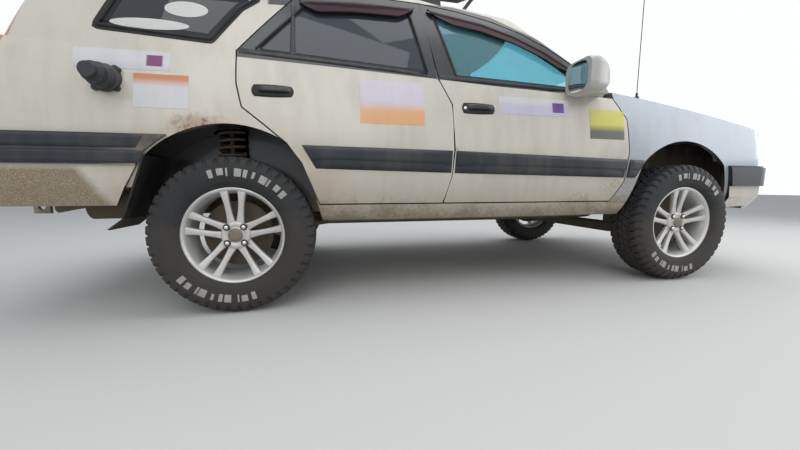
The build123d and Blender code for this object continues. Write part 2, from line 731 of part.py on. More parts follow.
def wheel():
    """A wheel about the X axis, its outer face towards +X and its middle at the origin."""
    half = rim_half_width
    hub_x = hub_face_y - wheel_y
    with BuildSketch(Plane.XY) as sketch:
        with BuildLine():
            Polyline((-half, rim_flange_radius), (-half + 6, rim_flange_radius), (-half + 9, rim_radius - 6),
                     (-half + 30, rim_radius - 8), (-half + 48, rim_radius - 24), (half - 40, rim_radius - 24),
                     (half - 26, rim_radius - 8), (half - 9, rim_radius - 6), (half - 6, rim_flange_radius),
                     (half, rim_flange_radius), (half, rim_radius - 12), (half - 22, rim_radius - 16),
                     (half - 36, rim_radius - 32), (-half + 46, rim_radius - 32),
                     (-half + 28, rim_radius - 16), (-half, rim_radius - 14), close=True)
        make_face()
    shape = revolve(sketch.sketch, Axis.X, 360)
    disc = rod((hub_x, 0, 0), (half - 30, 0, 0), 62)
    spokes = []
    for index in range(5):
        for lean in (-1, 1):
            spoke = side_prism([(half - 44, 40), (half - 24, 40), (half - 10, 120), (half - 4, rim_radius - 16),
                                (half - 40, rim_radius - 16), (half - 34, 110)], lean * 22 - 10, lean * 22 + 10)
            spokes.append(spoke.rotate(Axis.X, index * 72))
    hub = rod((-25, 0, 0), (hub_x, 0, 0), 60)
    rotor = rod((-20, 0, 0), (-8, 0, 0), 128)
    stub = rod((carrier_y0 - wheel_y + 2, 0, 0), (-20, 0, 0), stub_radius)
    return shape + disc + spokes + hub + rotor + stub


tyre_shape = tyre()
wheel_shape = wheel()
corners = [
    ("front_right", front_axle_x, -1),
    ("front_left", front_axle_x, 1),
    ("rear_right", rear_axle_x, -1),
    ("rear_left", rear_axle_x, 1),
]
for name, axle_x, side in corners:
    place = Location((axle_x, side * wheel_y, tyre_radius)) * Location((0, 0, 0), (0, 0, side * 90))
    save(f"tyre_{name}", place * tyre_shape)
    save(f"wheel_{name}", place * wheel_shape)

# Rear axle: tube, differential, trailing links and cross rod
axle_tube = rod((rear_axle_x, -carrier_y1, tyre_radius), (rear_axle_x, carrier_y1, tyre_radius), 36)
for side in (-1, 1):
    axle_tube += rod((rear_axle_x, side * carrier_y0, tyre_radius),
                     (rear_axle_x, side * carrier_y1, tyre_radius), 62)
    axle_tube -= rod((rear_axle_x, side * (carrier_y0 - 4), tyre_radius),
                     (rear_axle_x, side * (carrier_y1 + 4), tyre_radius), stub_radius + running_gap)
    axle_tube += rod((rear_axle_x, side * 470, 318), (-700, side * 430, 372), 16)
axle_tube += Sphere(120).translate((rear_axle_x, 0, tyre_radius))
axle_tube += rod((rear_axle_x, 0, tyre_radius), (rear_axle_x + 190, 0, tyre_radius + 8), 48)
cross_rod = rod((rear_axle_x - 90, 430, 330), (rear_axle_x - 90, -430, 372), 13)
cross_rod += box(rear_axle_x - 105, rear_axle_x - 20, 415, 445, 315, 345)
cross_rod += box(rear_axle_x - 115, rear_axle_x - 65, -455, -405, 360, load_floor_z - floor_wall)
rear_axle = axle_tube + cross_rod
save("rear_axle", rear_axle)

# Rear coil springs around their dampers
spring_radius = 56
spring_wire = 6.5
spring_seat_z = 708
spring_parts = []
for side in (-1, 1):
    centre_y = side * tower_y
    coil_path = Helix(pitch=34, height=tower_top_z - spring_seat_z - 2 * spring_wire - 12, radius=spring_radius)
    start_plane = Plane(origin=coil_path @ 0, z_dir=coil_path % 0)
    coil = sweep(start_plane * Circle(spring_wire), path=coil_path, is_frenet=True)
    coil = coil.translate((tower_x, centre_y, spring_seat_z + 7 + spring_wire))
    damper = rod((tower_x, centre_y, 400), (tower_x, centre_y, spring_seat_z), 22)
    damper += rod((tower_x, centre_y, spring_seat_z), (tower_x, centre_y, tower_top_z - 0.3), 9)
    damper += rod((tower_x, centre_y, spring_seat_z), (tower_x, centre_y, spring_seat_z + 7.5), 64)
    damper += box(rear_axle_x - 62, rear_axle_x + 10, centre_y - 16, centre_y + 16, 384.3, 402)
    spring_parts.append(damper + coil)
save("rear_springs", *spring_parts)

# Engine and gearbox as one plain block, and the shaft to the rear axle
mount_gap = 0.3
member_inner = member_y - member_half
engine = box(1390, 1850, -330, 200, 380, 860) + box(1390, 1700, 200, member_inner - mount_gap, 380, 620)
engine += box(1560, 1640, -member_inner + mount_gap, -330, 460, 520)
engine += rod((1390, 0, 430), (1150, 0, 426), 62)
engine = engine - front_frame
save("engine_and_gearbox", engine)
shaft_rear = (rear_axle_x + 190.3, 0, tyre_radius + 8)
prop_shaft = rod(shaft_rear, (1149.7, 0, 426), 30)
for x, z in ((rear_axle_x + 230, 358), (200, 396), (1110, 424)):
    prop_shaft += rod((x - 28, 0, z), (x + 28, 0, z), 44)
prop_shaft += box(170, 230, -110, -36, 380, 407.7) + box(170, 230, 36, 110, 380, 407.7)
prop_shaft = prop_shaft - engine - rear_axle
save("prop_shaft", prop_shaft)

# Exhaust pipe with its silencer, and the fuel tank
with BuildPart() as exhaust_pipe:
    with BuildLine() as route:
        FilletPolyline((1389.7, -90, 395), (1330, -90, 345), (1100, -180, 345), (-880, -180, 345),
                       (-1040, -180, 470), (-1330, -180, 470), (-1560, -300, 470), radius=60)
    with BuildSketch(Plane(origin=route.line @ 0, z_dir=route.line % 0)):
        Circle(22)
    sweep()
silencer = rod((-1560, -300, 470), (-1950, -330, 470), 78)
tail_pipe = rod((-1950, -345, 480), (-2100, -345, 450), 22)
exhaust = exhaust_pipe.part + silencer + tail_pipe
exhaust += box(-1780, -1740, -330, -290, 540, load_floor_z - floor_wall - 0.3)
exhaust = exhaust - engine
save("exhaust", exhaust)
tank = box(-1700, -1330, 0, 440, 440, load_floor_z - floor_wall - 0.3)
tank = fillet(tank.edges().filter_by(Axis.Z), 40)
save("fuel_tank", tank)

# Rear mudflaps hanging behind the wheels
flap_outline = [(-1465, 690), (-1560, 430), (-1612, 390), (-1604, 387), (-1551, 431), (-1457, 690)]
flap = side_prism(flap_outline, -842, -625)
save("mudflaps", flap, other_side(flap))

# Roof rack: four feet, two cross bars and a frame with a turned up front
rack_bars = (-209, -1050)
rack_bar_z = 1586
rack_rail_z = 1606
rack_y = 500
rack_parts = []
for x in rack_bars:
    rack_parts.append(rod((x, -610, rack_bar_z), (x, 610, rack_bar_z), 14))
    for side in (-1, 1):
        foot = cross_prism([(side * 560, 1450), (side * 640, 1450), (side * 628, 1570), (side * 590, 1592),
                            (side * 566, 1570)], x - 62, x + 62)
        rack_parts.append(foot - cabin_form)
for side in (-1, 1):
    y = side * rack_y
    rack_parts.append(rod((-1300, y, rack_rail_z), (0, y, rack_rail_z), 13))
    rack_parts.append(rod((0, y, rack_rail_z), (110, y, rack_rail_z + 48), 13))
    rack_parts.append(Sphere(13).translate((0, y, rack_rail_z)))
for x, z in ((-1300, rack_rail_z), (-840, rack_rail_z), (-420, rack_rail_z), (110, rack_rail_z + 48)):
    rack_parts.append(rod((x, -rack_y, z), (x, rack_y, z), 11))
roof_rack = Part() + rack_parts
save("roof_rack", roof_rack)

# Breather cap on the right rear quarter, and the whip aerial on the right front wing
vent_x, vent_z = -1587, 987
vent_profile = [(0, 770), (53, 770), (53, 812), (46, 818), (46, 850), (38, 856), (38, 884), (27, 892), (27, 912),
                (0, 912)]
with BuildSketch(Plane.XY) as vent_sketch:
    with BuildLine():
        Polyline(*vent_profile, close=True)
    make_face()
vent = revolve(vent_sketch.sketch, Axis.Y, 360).mirror(Plane.XZ).translate((vent_x, 0, vent_z))
for index in range(4):
    angle = radians(45 + 90 * index)
    vent += rod((vent_x + 52 * cos(angle), -770, vent_z + 52 * sin(angle)),
                (vent_x + 52 * cos(angle), -808, vent_z + 52 * sin(angle)), 13)
vent = vent - cabin_form
save("side_vent", vent)
aerial_x, aerial_y = 1018, -738
aerial = rod((aerial_x, aerial_y, 1030), (aerial_x, aerial_y, 1078), 13)
aerial += rod((aerial_x, aerial_y, 1078), (aerial_x, aerial_y, 1100), 6)
aerial += rod((aerial_x, aerial_y, 1100), (aerial_x, aerial_y, 2000), 2.2)
aerial = aerial - (lower_outer & bonnet_outer)
save("aerial", aerial)

# Door mirrors
mirror_rows = [
    (478, 905, 1104, 172, 150),
    (500, 905, 1104, 180, 160),
    (570, 900, 1100, 166, 148),
    (628, 890, 1092, 110, 92),
]


def mirror_face(x, y, z, width, height):
    """One rounded cross section of the mirror housing."""
    return Plane(origin=(x, -y, z), x_dir=(0, 1, 0), z_dir=(1, 0, 0)) * RectangleRounded(width, height, 38)


mirror = loft([mirror_face(*row) for row in mirror_rows])
mirror += side_prism([(600, 1045), (700, 1045), (640, 1120), (590, 1120)], -870, -700)
mirror = mirror - front_door - front_glass - cabin_form
save("mirror_right", mirror)
save("mirror_left", other_side(mirror))

# Inside: dashboard with its column, steering wheel, and seats
column_foot = Vector(700, -360, 850)
column_end = Vector(470, -360, 952)
column_dir = (column_end - column_foot).normalized()
dashboard = side_prism([(bulkhead_x - 0.3, 600), (bulkhead_x - 0.3, 985), (840, 992), (690, 968), (640, 900),
                        (690, 730), (780, 600)], -690, 690, 20)
dashboard += rod(tuple(column_foot), tuple(column_end - column_dir * 30), 28)
dashboard = dashboard - body_side - other_side(body_side)
save("dashboard", dashboard)
wheel_plane = Plane(origin=column_end, z_dir=column_dir)
steering_wheel = wheel_plane * Torus(182, 14)
steering_wheel += wheel_plane * Cylinder(52, 34)
for index in range(3):
    spoke_turn = Location((0, 0, 0), (0, 0, 120 * index + 90))
    steering_wheel += wheel_plane * spoke_turn * Location((110, 0, 0)) * Box(140, 34, 12)
steering_wheel += rod(tuple(column_end - column_dir * 29.6), tuple(column_end), 20)
save("steering_wheel", steering_wheel)
seats = []
for side in (-1, 1):
    seat = side_prism([(-120, cabin_floor_z + 0.3), (330, cabin_floor_z + 0.3), (390, 640), (370, 690), (-60, 650),
                       (-230, 1130), (-250, 1300), (-330, 1300), (-340, 1120), (-180, 560)],
                      side * 360 - 235, side * 360 + 235, 12)
    seats.append(seat)
save("front_seats", *seats)
rear_cushion = box(heel_x + 0.3, -290, -600, 600, cabin_floor_z + 0.3, 690)
rear_cushion = rear_cushion - box(-800, -200, -tunnel_half_width - 0.3, tunnel_half_width + 0.3,
                                  400, tunnel_z + 0.3)
rear_back = side_prism([(heel_x - 6, load_floor_z + 0.3), (heel_x - 130, load_floor_z + 0.3), (-960, 1130), (-880, 1150)],
                       -535, 535, 15)
save("rear_seat", rear_cushion, rear_back)
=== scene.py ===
"""Looks of the lifted rally estate car: materials, trim, seats, lamps and the stage round the frame."""
import math

import bpy
import numpy as np
from bpy.props import FloatProperty, FloatVectorProperty, PointerProperty
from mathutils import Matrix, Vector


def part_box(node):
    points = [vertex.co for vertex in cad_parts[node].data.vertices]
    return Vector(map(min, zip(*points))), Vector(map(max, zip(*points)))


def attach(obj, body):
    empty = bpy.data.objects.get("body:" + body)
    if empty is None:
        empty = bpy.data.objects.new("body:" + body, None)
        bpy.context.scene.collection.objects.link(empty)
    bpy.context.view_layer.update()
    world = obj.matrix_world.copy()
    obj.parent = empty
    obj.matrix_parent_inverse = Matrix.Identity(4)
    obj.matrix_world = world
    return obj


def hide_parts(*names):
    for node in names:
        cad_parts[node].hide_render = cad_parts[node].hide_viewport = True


bl_info = {
    "name": "Rally estate car looks",
    "version": (1, 0, 0),
    "blender": (4, 5, 0),
    "location": "View3D > Sidebar > Rally car",
    "description": "Paint, rubber, glass, trim and seats of a lifted rally estate car",
    "category": "Object",
}

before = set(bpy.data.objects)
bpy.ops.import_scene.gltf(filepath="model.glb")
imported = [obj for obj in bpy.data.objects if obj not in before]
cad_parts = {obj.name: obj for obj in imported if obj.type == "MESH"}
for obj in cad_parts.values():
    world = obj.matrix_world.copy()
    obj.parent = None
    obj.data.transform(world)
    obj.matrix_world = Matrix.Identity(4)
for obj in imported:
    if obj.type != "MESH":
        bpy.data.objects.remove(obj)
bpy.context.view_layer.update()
SIDES = (("right", -1.0), ("left", 1.0))
FRONT_AXLE_X, REAR_AXLE_X = 1.3175, -1.1475
WHEEL_Y, TYRE_RADIUS = 0.745, 0.348
SHELL = "body_shell"
USUAL_MUD_HEIGHT = 0.60


class RallyCarSizes(bpy.types.PropertyGroup):
    """Sizes and colours that a user would change."""

    cream_paint: FloatVectorProperty(name="Cream paint", description="Paint of the doors and rear quarters",
                                     default=(0.62, 0.585, 0.505), size=3, min=0, max=1, subtype="COLOR")
    cold_paint: FloatVectorProperty(name="Cold white paint",
                                    description="Paint of the front wings and bonnet",
                                    default=(0.385, 0.455, 0.520), size=3, min=0, max=1, subtype="COLOR")
    mud_colour: FloatVectorProperty(name="Mud", description="Dried mud on sills and low panels",
                                    default=(0.205, 0.165, 0.115), size=3, min=0, max=1, subtype="COLOR")
    mud_height: FloatProperty(name="Mud height", description="Height up to which mud reaches",
                              default=USUAL_MUD_HEIGHT, min=0.1, max=1.5, unit="LENGTH")
    moulding_depth: FloatProperty(name="Moulding depth", description="How far the side mouldings stand out",
                                  default=0.014, min=0.002, max=0.04, unit="LENGTH")
    visor_width: FloatProperty(name="Visor width", description="Height of the smoked window visors",
                               default=0.062, min=0.02, max=0.12, unit="LENGTH")
    camera_lens: FloatProperty(name="Camera lens", description="Focal length", default=14.72, min=5, max=100,
                               subtype="DISTANCE_CAMERA")


# Node tools

def new_material(name, colour, roughness, metallic=0.0, **sockets):
    """A material with its Principled shader; other plain sockets are set by name."""
    material = bpy.data.materials.new(name)
    material.use_nodes = True
    shader = material.node_tree.nodes["Principled BSDF"]
    shader.inputs["Base Color"].default_value = (*colour, 1)
    shader.inputs["Roughness"].default_value = roughness
    shader.inputs["Metallic"].default_value = metallic
    for socket, value in sockets.items():
        shader.inputs[socket.replace("_", " ")].default_value = value
    return material


def add_node(tree, kind, links=None, **values):
    """A node with its settings; links maps input names or numbers to sockets or plain values."""
    node = tree.nodes.new(kind)
    for key, value in values.items():
        setattr(node, key, value)
    for key, value in (links or {}).items():
        if isinstance(value, bpy.types.NodeSocket):
            tree.links.new(value, node.inputs[key])
        else:
            node.inputs[key].default_value = value
    return node


def maths(tree, operation, a, b=0.0, clamp=False):
    """One arithmetic step on sockets or numbers."""
    return add_node(tree, "ShaderNodeMath", {0: a, 1: b}, operation=operation, use_clamp=clamp).outputs[0]


def vector_maths(tree, operation, a, b=(0, 0, 0)):
    """One step on vectors; a distance, length or dot product is a number."""
    outputs = add_node(tree, "ShaderNodeVectorMath", {0: a, 1: b}, operation=operation).outputs
    return outputs["Value" if operation in ("DISTANCE", "LENGTH", "DOT_PRODUCT") else "Vector"]


def between(tree, value, low, high):
    """0 below low, 1 above high and a straight slope between."""
    node = add_node(tree, "ShaderNodeMapRange", {"Value": value, "From Min": low, "From Max": high},
                    clamp=True)
    return node.outputs["Result"]


def axes_of(tree, vector):
    """The three numbers of a vector, by the names X, Y and Z."""
    return add_node(tree, "ShaderNodeSeparateXYZ", {0: vector}).outputs


def both(tree, *masks):
    """The product of masks: 1 where all of them are 1."""
    result = masks[0]
    for mask in masks[1:]:
        result = maths(tree, "MULTIPLY", result, mask)
    return result


def stretch(tree, value, low, high, soft):
    """1 from low to high and 0 outside, with edges twice as wide as soft."""
    return both(tree, between(tree, value, low - soft, low + soft),
                between(tree, value, high + soft, high - soft))


def line_over(tree, value, height, slope):
    """The line height + slope * value."""
    line = maths(tree, "MULTIPLY_ADD", value, slope)
    line.node.inputs[2].default_value = height
    return line


def colour_from(material, colour):
    """Link a colour to the material's shader."""
    material.node_tree.links.new(colour, material.node_tree.nodes["Principled BSDF"].inputs["Base Color"])


def offset_from(tree, vector, middle, scale):
    """Distance from a middle after each axis is scaled, which makes round patches long or flat."""
    off = vector_maths(tree, "SUBTRACT", vector, middle)
    return vector_maths(tree, "LENGTH", vector_maths(tree, "MULTIPLY", off, scale))


def mix_colour(tree, factor, a, b):
    """Colour a where factor is 0 and colour b where it is 1."""
    node = add_node(tree, "ShaderNodeMix", {0: factor}, data_type="RGBA")
    for socket, value in ((node.inputs[6], a), (node.inputs[7], b)):
        if isinstance(value, bpy.types.NodeSocket):
            tree.links.new(value, socket)
        else:
            socket.default_value = (*value, 1) if len(value) == 3 else value
    return node.outputs[2]


def noise(tree, vector, scale, detail=4.0):
    """Fractal noise from 0 to 1."""
    node = add_node(tree, "ShaderNodeTexNoise", {"Vector": vector, "Scale": scale, "Detail": detail})
    return node.outputs["Fac"]


def effect_group(name, inputs, build):
    """A shader node group: inputs maps names to default numbers, build fills it and returns its mask."""
    group = bpy.data.node_groups.new(name, "ShaderNodeTree")
    group.interface.new_socket("Vector", in_out="INPUT", socket_type="NodeSocketVector")
    for label, value in inputs.items():
        socket = group.interface.new_socket(label, in_out="INPUT", socket_type="NodeSocketFloat")
        socket.default_value = value
    group.interface.new_socket("Mask", in_out="OUTPUT", socket_type="NodeSocketFloat")
    source = group.nodes.new("NodeGroupInput").outputs
    result = group.nodes.new("NodeGroupOutput")
    group.links.new(build(group, source), result.inputs[0])
    return group


def build_mud(tree, source):
    """Mud is full near the ground and breaks into splashes up to the top height."""
    height = axes_of(tree, source["Vector"])["Z"]
    patches = noise(tree, source["Vector"], source["Patch scale"], 6.0)
    specks = noise(tree, source["Vector"], source["Speck scale"], 3.0)
    reach = maths(tree, "SUBTRACT", source["Top"], height)
    body = maths(tree, "MULTIPLY", between(tree, reach, 0.0, 0.3), 1.15)
    broken = maths(tree, "SUBTRACT", maths(tree, "ADD", body, patches), 0.72)
    spotted = maths(tree, "ADD", broken, maths(tree, "MULTIPLY", maths(tree, "SUBTRACT", specks, 0.5), 0.5))
    return maths(tree, "MULTIPLY", between(tree, spotted, 0.0, 0.35), source["Amount"])


def build_grime(tree, source):
    """Thin uneven film: two noises of different scale multiplied."""
    large = noise(tree, source["Vector"], source["Scale"], 5.0)
    streak = add_node(tree, "ShaderNodeMapping",
                      {"Vector": source["Vector"], "Scale": (6.0, 6.0, 1.2)}).outputs[0]
    runs = noise(tree, streak, source["Scale"], 4.0)
    return both(tree, between(tree, both(tree, large, runs), 0.18, 0.42), source["Amount"])


GROUPS = {}


def make_groups():
    """The two dirt effects shared by most materials."""
    GROUPS["mud"] = effect_group("Mud", {"Top": 0.6, "Patch scale": 5.0, "Speck scale": 60.0, "Amount": 1.0},
                                 build_mud)
    GROUPS["grime"] = effect_group("Grime", {"Scale": 3.0, "Amount": 0.5}, build_grime)


def effect(tree, name, vector, **values):
    """Place a shared effect in a material with its own values."""
    node = tree.nodes.new("ShaderNodeGroup")
    node.node_tree = GROUPS[name]
    tree.links.new(vector, node.inputs["Vector"])
    for label, value in values.items():
        node.inputs[label.replace("_", " ")].default_value = value
    return node.outputs["Mask"]


def object_vector(tree):
    """Object coordinates, which are the car's own frame."""
    return add_node(tree, "ShaderNodeTexCoord").outputs["Object"]


def weathered(material, mud_top=0.6, mud_amount=0.9, grime=0.4, bump=0.15, bump_scale=90.0,
              film=(0.30, 0.27, 0.22), clean=None):
    """Adds film, mud, unevenness and matching roughness to a material; no film lies where clean is 1."""
    sizes = bpy.context.scene.rally_car
    tree = material.node_tree
    shader = tree.nodes["Principled BSDF"]
    vector = object_vector(tree)
    source = shader.inputs["Base Color"]
    colour = source.links[0].from_socket if source.links else tuple(source.default_value)
    film_mask = effect(tree, "grime", vector, Amount=grime)
    if clean is not None:
        film_mask = maths(tree, "MULTIPLY", film_mask,
                          maths(tree, "SUBTRACT", 1.0, maths(tree, "MULTIPLY", clean, 0.85)))
    mud_mask = effect(tree, "mud", vector, Top=mud_top * sizes.mud_height / USUAL_MUD_HEIGHT,
                      Amount=mud_amount)
    colour = mix_colour(tree, film_mask, colour, film)
    colour = mix_colour(tree, mud_mask, colour, tuple(sizes.mud_colour))
    tree.links.new(colour, source)
    rough = shader.inputs["Roughness"].default_value
    rough = maths(tree, "ADD", rough, maths(tree, "MULTIPLY", film_mask, 0.18))
    tree.links.new(maths(tree, "ADD", rough, maths(tree, "MULTIPLY", mud_mask, 0.5), True),
                   shader.inputs["Roughness"])
    relief = maths(tree, "ADD", noise(tree, vector, bump_scale, 3.0), maths(tree, "MULTIPLY", mud_mask, 1.6))
    bumper = add_node(tree, "ShaderNodeBump", {"Height": relief, "Strength": bump, "Distance": 0.002})
    tree.links.new(bumper.outputs[0], shader.inputs["Normal"])
    return material


def inward_mask(tree, vector, centre):
    """1 where a face looks towards the centre; a centre without y looks only at the side view."""
    keep = (1, 0 if centre[1] is None else 1, 1)
    goal = (centre[0], centre[1] or 0, centre[2])
    towards = vector_maths(tree, "MULTIPLY", vector_maths(tree, "SUBTRACT", goal, vector), keep)
    normal = add_node(tree, "ShaderNodeNewGeometry").outputs["Normal"]
    facing = vector_maths(tree, "DOT_PRODUCT", vector_maths(tree, "NORMALIZE", towards), normal)
    return between(tree, facing, 0.12, 0.2)


# Top edge of the side windows as straight lines (height at x = 0, slope), and the dark gutter strip over it
GUTTER_LINES = ((1.4664, 0.054), (1.4523, -0.116), (1.4868, -0.3625), (1.5919, -0.591))
GUTTER_LIFT, GUTTER_DEPTH, GUTTER_REAR_X = 0.034, 0.070, -0.985
# The belt line, under which a door is painted: height at x = 0 and slope
BELT_LINE = (1.072, -0.040)
BLACK_TRIM, GUTTER_BLACK = (0.009, 0.011, 0.016), (0.020, 0.016, 0.021)
# WELL_SHADE is painted shade: the wheel wells' dark undercoat deepened to near-black to stand for the shade
# inside them
INNER_GREY, WELL_SHADE = (0.10, 0.10, 0.105), (0.004, 0.004, 0.005)
ARCH_DUST, ROAD_DUST, BUMPER_MUD = (0.50, 0.39, 0.29), (0.275, 0.215, 0.135), (0.225, 0.165, 0.085)
RUST_LIGHT, RUST_DARK = (0.40, 0.29, 0.19), (0.17, 0.09, 0.05)
RUST_MIDDLE, DUST_MIDDLE = (-1.270, -0.83, 0.818), (0.96, -0.84, 0.40)


def well_shade_masks(tree, vector, width, deep_well_shade):
    """Painted-shade mask of the wheel wells' inner faces, and the distance from the rear axle in side view.
    """
    wells, circles = [], []
    for axle_x in (FRONT_AXLE_X, REAR_AXLE_X):
        reach = offset_from(tree, vector, (axle_x, 0, TYRE_RADIUS), (1, 0, 1))
        facing = inward_mask(tree, vector, (axle_x, None, TYRE_RADIUS))
        wells.append(both(tree, between(tree, reach, 0.66, 0.64), facing))
        circles.append(between(tree, reach, 0.60, 0.58))
    under = both(tree, maths(tree, "MAXIMUM", *wells), between(tree, width, 0.845, 0.835))
    # Painted shade deep inside each arch circle, inboard of the sides, where the well lies in shade
    if deep_well_shade:
        deep_shade_mask = both(tree, between(tree, width, 0.800, 0.790), maths(tree, "MAXIMUM", *circles))
        under = maths(tree, "MAXIMUM", under, deep_shade_mask)
    return under, reach


def gutter_mask(tree, axes):
    """A strip under the lowest of the gutter lines, forward of the rear door's end."""
    top = None
    for height, slope in GUTTER_LINES:
        line = line_over(tree, axes["X"], height + GUTTER_LIFT, slope)
        top = line if top is None else maths(tree, "MINIMUM", top, line)
    drop = maths(tree, "SUBTRACT", axes["Z"], top)
    strip = both(tree, between(tree, drop, 0.001, -0.001),
                 between(tree, drop, -GUTTER_DEPTH - 0.001, -GUTTER_DEPTH + 0.001))
    return both(tree, strip, between(tree, axes["X"], GUTTER_REAR_X - 0.005, GUTTER_REAR_X + 0.005))


def rust_patch(tree, vector, axes, colour):
    """Flaked rust over the right rear arch."""
    away = offset_from(tree, vector, RUST_MIDDLE, (0.42, 1, 1.1))
    ragged = maths(tree, "ADD", away, maths(tree, "MULTIPLY", noise(tree, vector, 26.0), 0.07))
    stain = mix_colour(tree, between(tree, noise(tree, vector, 70.0), 0.52, 0.60), RUST_LIGHT, RUST_DARK)
    return mix_colour(tree, between(tree, ragged, 0.095, 0.050), colour, stain)


def bumper_mud(tree, vector, axes, colour):
    """Thrown mud on the bumper's lower corners, behind a slanting edge."""
    edge = line_over(tree, axes["Z"], -1.249, -0.70)
    behind = maths(tree, "SUBTRACT", edge, axes["X"])
    ragged = maths(tree, "ADD", behind, maths(tree, "MULTIPLY", noise(tree, vector, 16.0, 8.0), 0.05))
    patch = both(tree, between(tree, ragged, 0.005, 0.06), between(tree, axes["Z"], 0.655, 0.625),
                 between(tree, noise(tree, vector, 240.0, 4.0), 0.02, 0.54),
                 between(tree, maths(tree, "ABSOLUTE", axes["Y"]), 0.42, 0.66))
    return mix_colour(tree, patch, colour, BUMPER_MUD)


def low_dust(tree, vector, axes, colour):
    """Dust behind the right front wheel and along all lower edges."""
    reach = vector_maths(tree, "DISTANCE", vector, DUST_MIDDLE)
    ragged = maths(tree, "ADD", reach,
                   maths(tree, "MULTIPLY", noise(tree, vector, 12.0), 0.16))
    splash = both(tree, between(tree, ragged, 0.54, 0.20),
                  between(tree, noise(tree, vector, 110.0, 6.0), 0.22, 0.66))
    low = maths(tree, "MULTIPLY", between(tree, axes["Z"], 0.66, 0.44), 0.62)
    return mix_colour(tree, maths(tree, "MAXIMUM", splash, low), colour, ROAD_DUST)


def paint_material(name, paint, mud_top, stains=(), above_belt=False, band=None, deep_well_shade=False,
                   gutter=False):
    """Car paint; the part above the sloping belt, or inside a height band, may be dark plastic."""
    material = new_material(name, paint, 0.32, Coat_Weight=0.5, Coat_Roughness=0.12)
    tree = material.node_tree
    vector = object_vector(tree)
    axes = axes_of(tree, vector)
    colour, trim = tuple(paint), None
    if above_belt:
        belt = line_over(tree, axes["X"], *BELT_LINE)
        trim = between(tree, maths(tree, "SUBTRACT", axes["Z"], belt), -0.001, 0.001)
    if band:
        trim = stretch(tree, axes["Z"], *band, 0.001)
    if trim is not None:
        colour = mix_colour(tree, trim, colour, BLACK_TRIM)
    colour = mix_colour(tree, inward_mask(tree, vector, (-0.4, 0, 1.0)), colour, INNER_GREY)
    under, rear_reach = well_shade_masks(tree, vector, maths(tree, "ABSOLUTE", axes["Y"]), deep_well_shade)
    if gutter:
        colour = mix_colour(tree, gutter_mask(tree, axes), colour, GUTTER_BLACK)
    edge = both(tree, between(tree, rear_reach, 0.60, 0.45),
                between(tree, noise(tree, vector, 9.0), 0.25, 0.55))
    colour = mix_colour(tree, maths(tree, "MULTIPLY", edge, 0.55), colour, ARCH_DUST)
    # Painted shade: the wheel wells are made near-black
    colour = mix_colour(tree, under, colour, WELL_SHADE)
    for stain in stains:
        colour = stain(tree, vector, axes, colour)
    colour_from(material, colour)
    clean = under if trim is None else maths(tree, "MAXIMUM", under, trim)
    return weathered(material, mud_top=mud_top, grime=0.28, bump=0.05, clean=clean)


CLEAR_TINT, DARK_TINT = (0.37, 0.80, 0.88), (0.090, 0.110, 0.135)
# Plain materials: colour, roughness, metallic, other inputs, and the arguments of weathered, if any
PLAIN_FINISHES = {
    "dark_trim": ((0.010, 0.014, 0.020), 0.48, 0.0, {}, (0.45, 0.5, 0.12)),
    "mirror_paint": ((0.46, 0.46, 0.43), 0.4, 0.0, {"Coat_Weight": 0.3}, (0.3, 0.0, 0.6)),
    "black_rubber": ((0.010, 0.010, 0.012), 0.55, 0.0, {"Specular_IOR_Level": 0.3}, (0.5, 0.5, 0.07)),
    "tyre_rubber": ((0.030, 0.030, 0.031), 0.72, 0.0, {}, (0.75, 0.35, 0.55, 0.5, 160, (0.16, 0.145, 0.125))),
    "alloy": ((0.80, 0.80, 0.79), 0.36, 0.55, {}, (0.62, 0.25, 0.35, 0.1)),
    "chassis": ((0.030, 0.026, 0.022), 0.7, 0.2, {}, (0.9, 0.7, 0.6, 0.5)),
    "rack_black": ((0.014, 0.014, 0.015), 0.38, 0.0, {}, (0.3, 0.0, 0.15)),
    "cabin_plastic": ((0.045, 0.046, 0.050), 0.6, 0.0, {}, (0.3, 0.0, 0.15)),
    "tinted_glass": ((0.085, 0.105, 0.130), 0.03, 0.0, {"Transmission_Weight": 0.6, "IOR": 1.5}, None),
    "clear_glass": (CLEAR_TINT, 0.02, 0.0, {"Transmission_Weight": 0.88, "IOR": 1.5}, None),
    "mirror_silver": ((0.80, 0.82, 0.84), 0.02, 1.0, {}, None),
    "seat_fabric": ((0.075, 0.078, 0.088), 0.9, 0.0, {}, (0.3, 0, 0.2, 0.4, 420)),
    "cap_brown": ((0.22, 0.19, 0.15), 0.45, 0.5, {}, (0.5, 0.2, 0.4)),
    "ivory": ((0.62, 0.62, 0.60), 0.35, 0.0, {}, None),
    "visor_smoke": ((0.018, 0.004, 0.007), 0.42, 0.0, {"Specular_IOR_Level": 0.1}, None),
    "chrome": ((0.75, 0.75, 0.76), 0.12, 1.0, {}, None),
    "disc_iron": ((0.075, 0.060, 0.050), 0.6, 0.5, {}, (0.9, 0.5, 0.5, 0.2)),
}


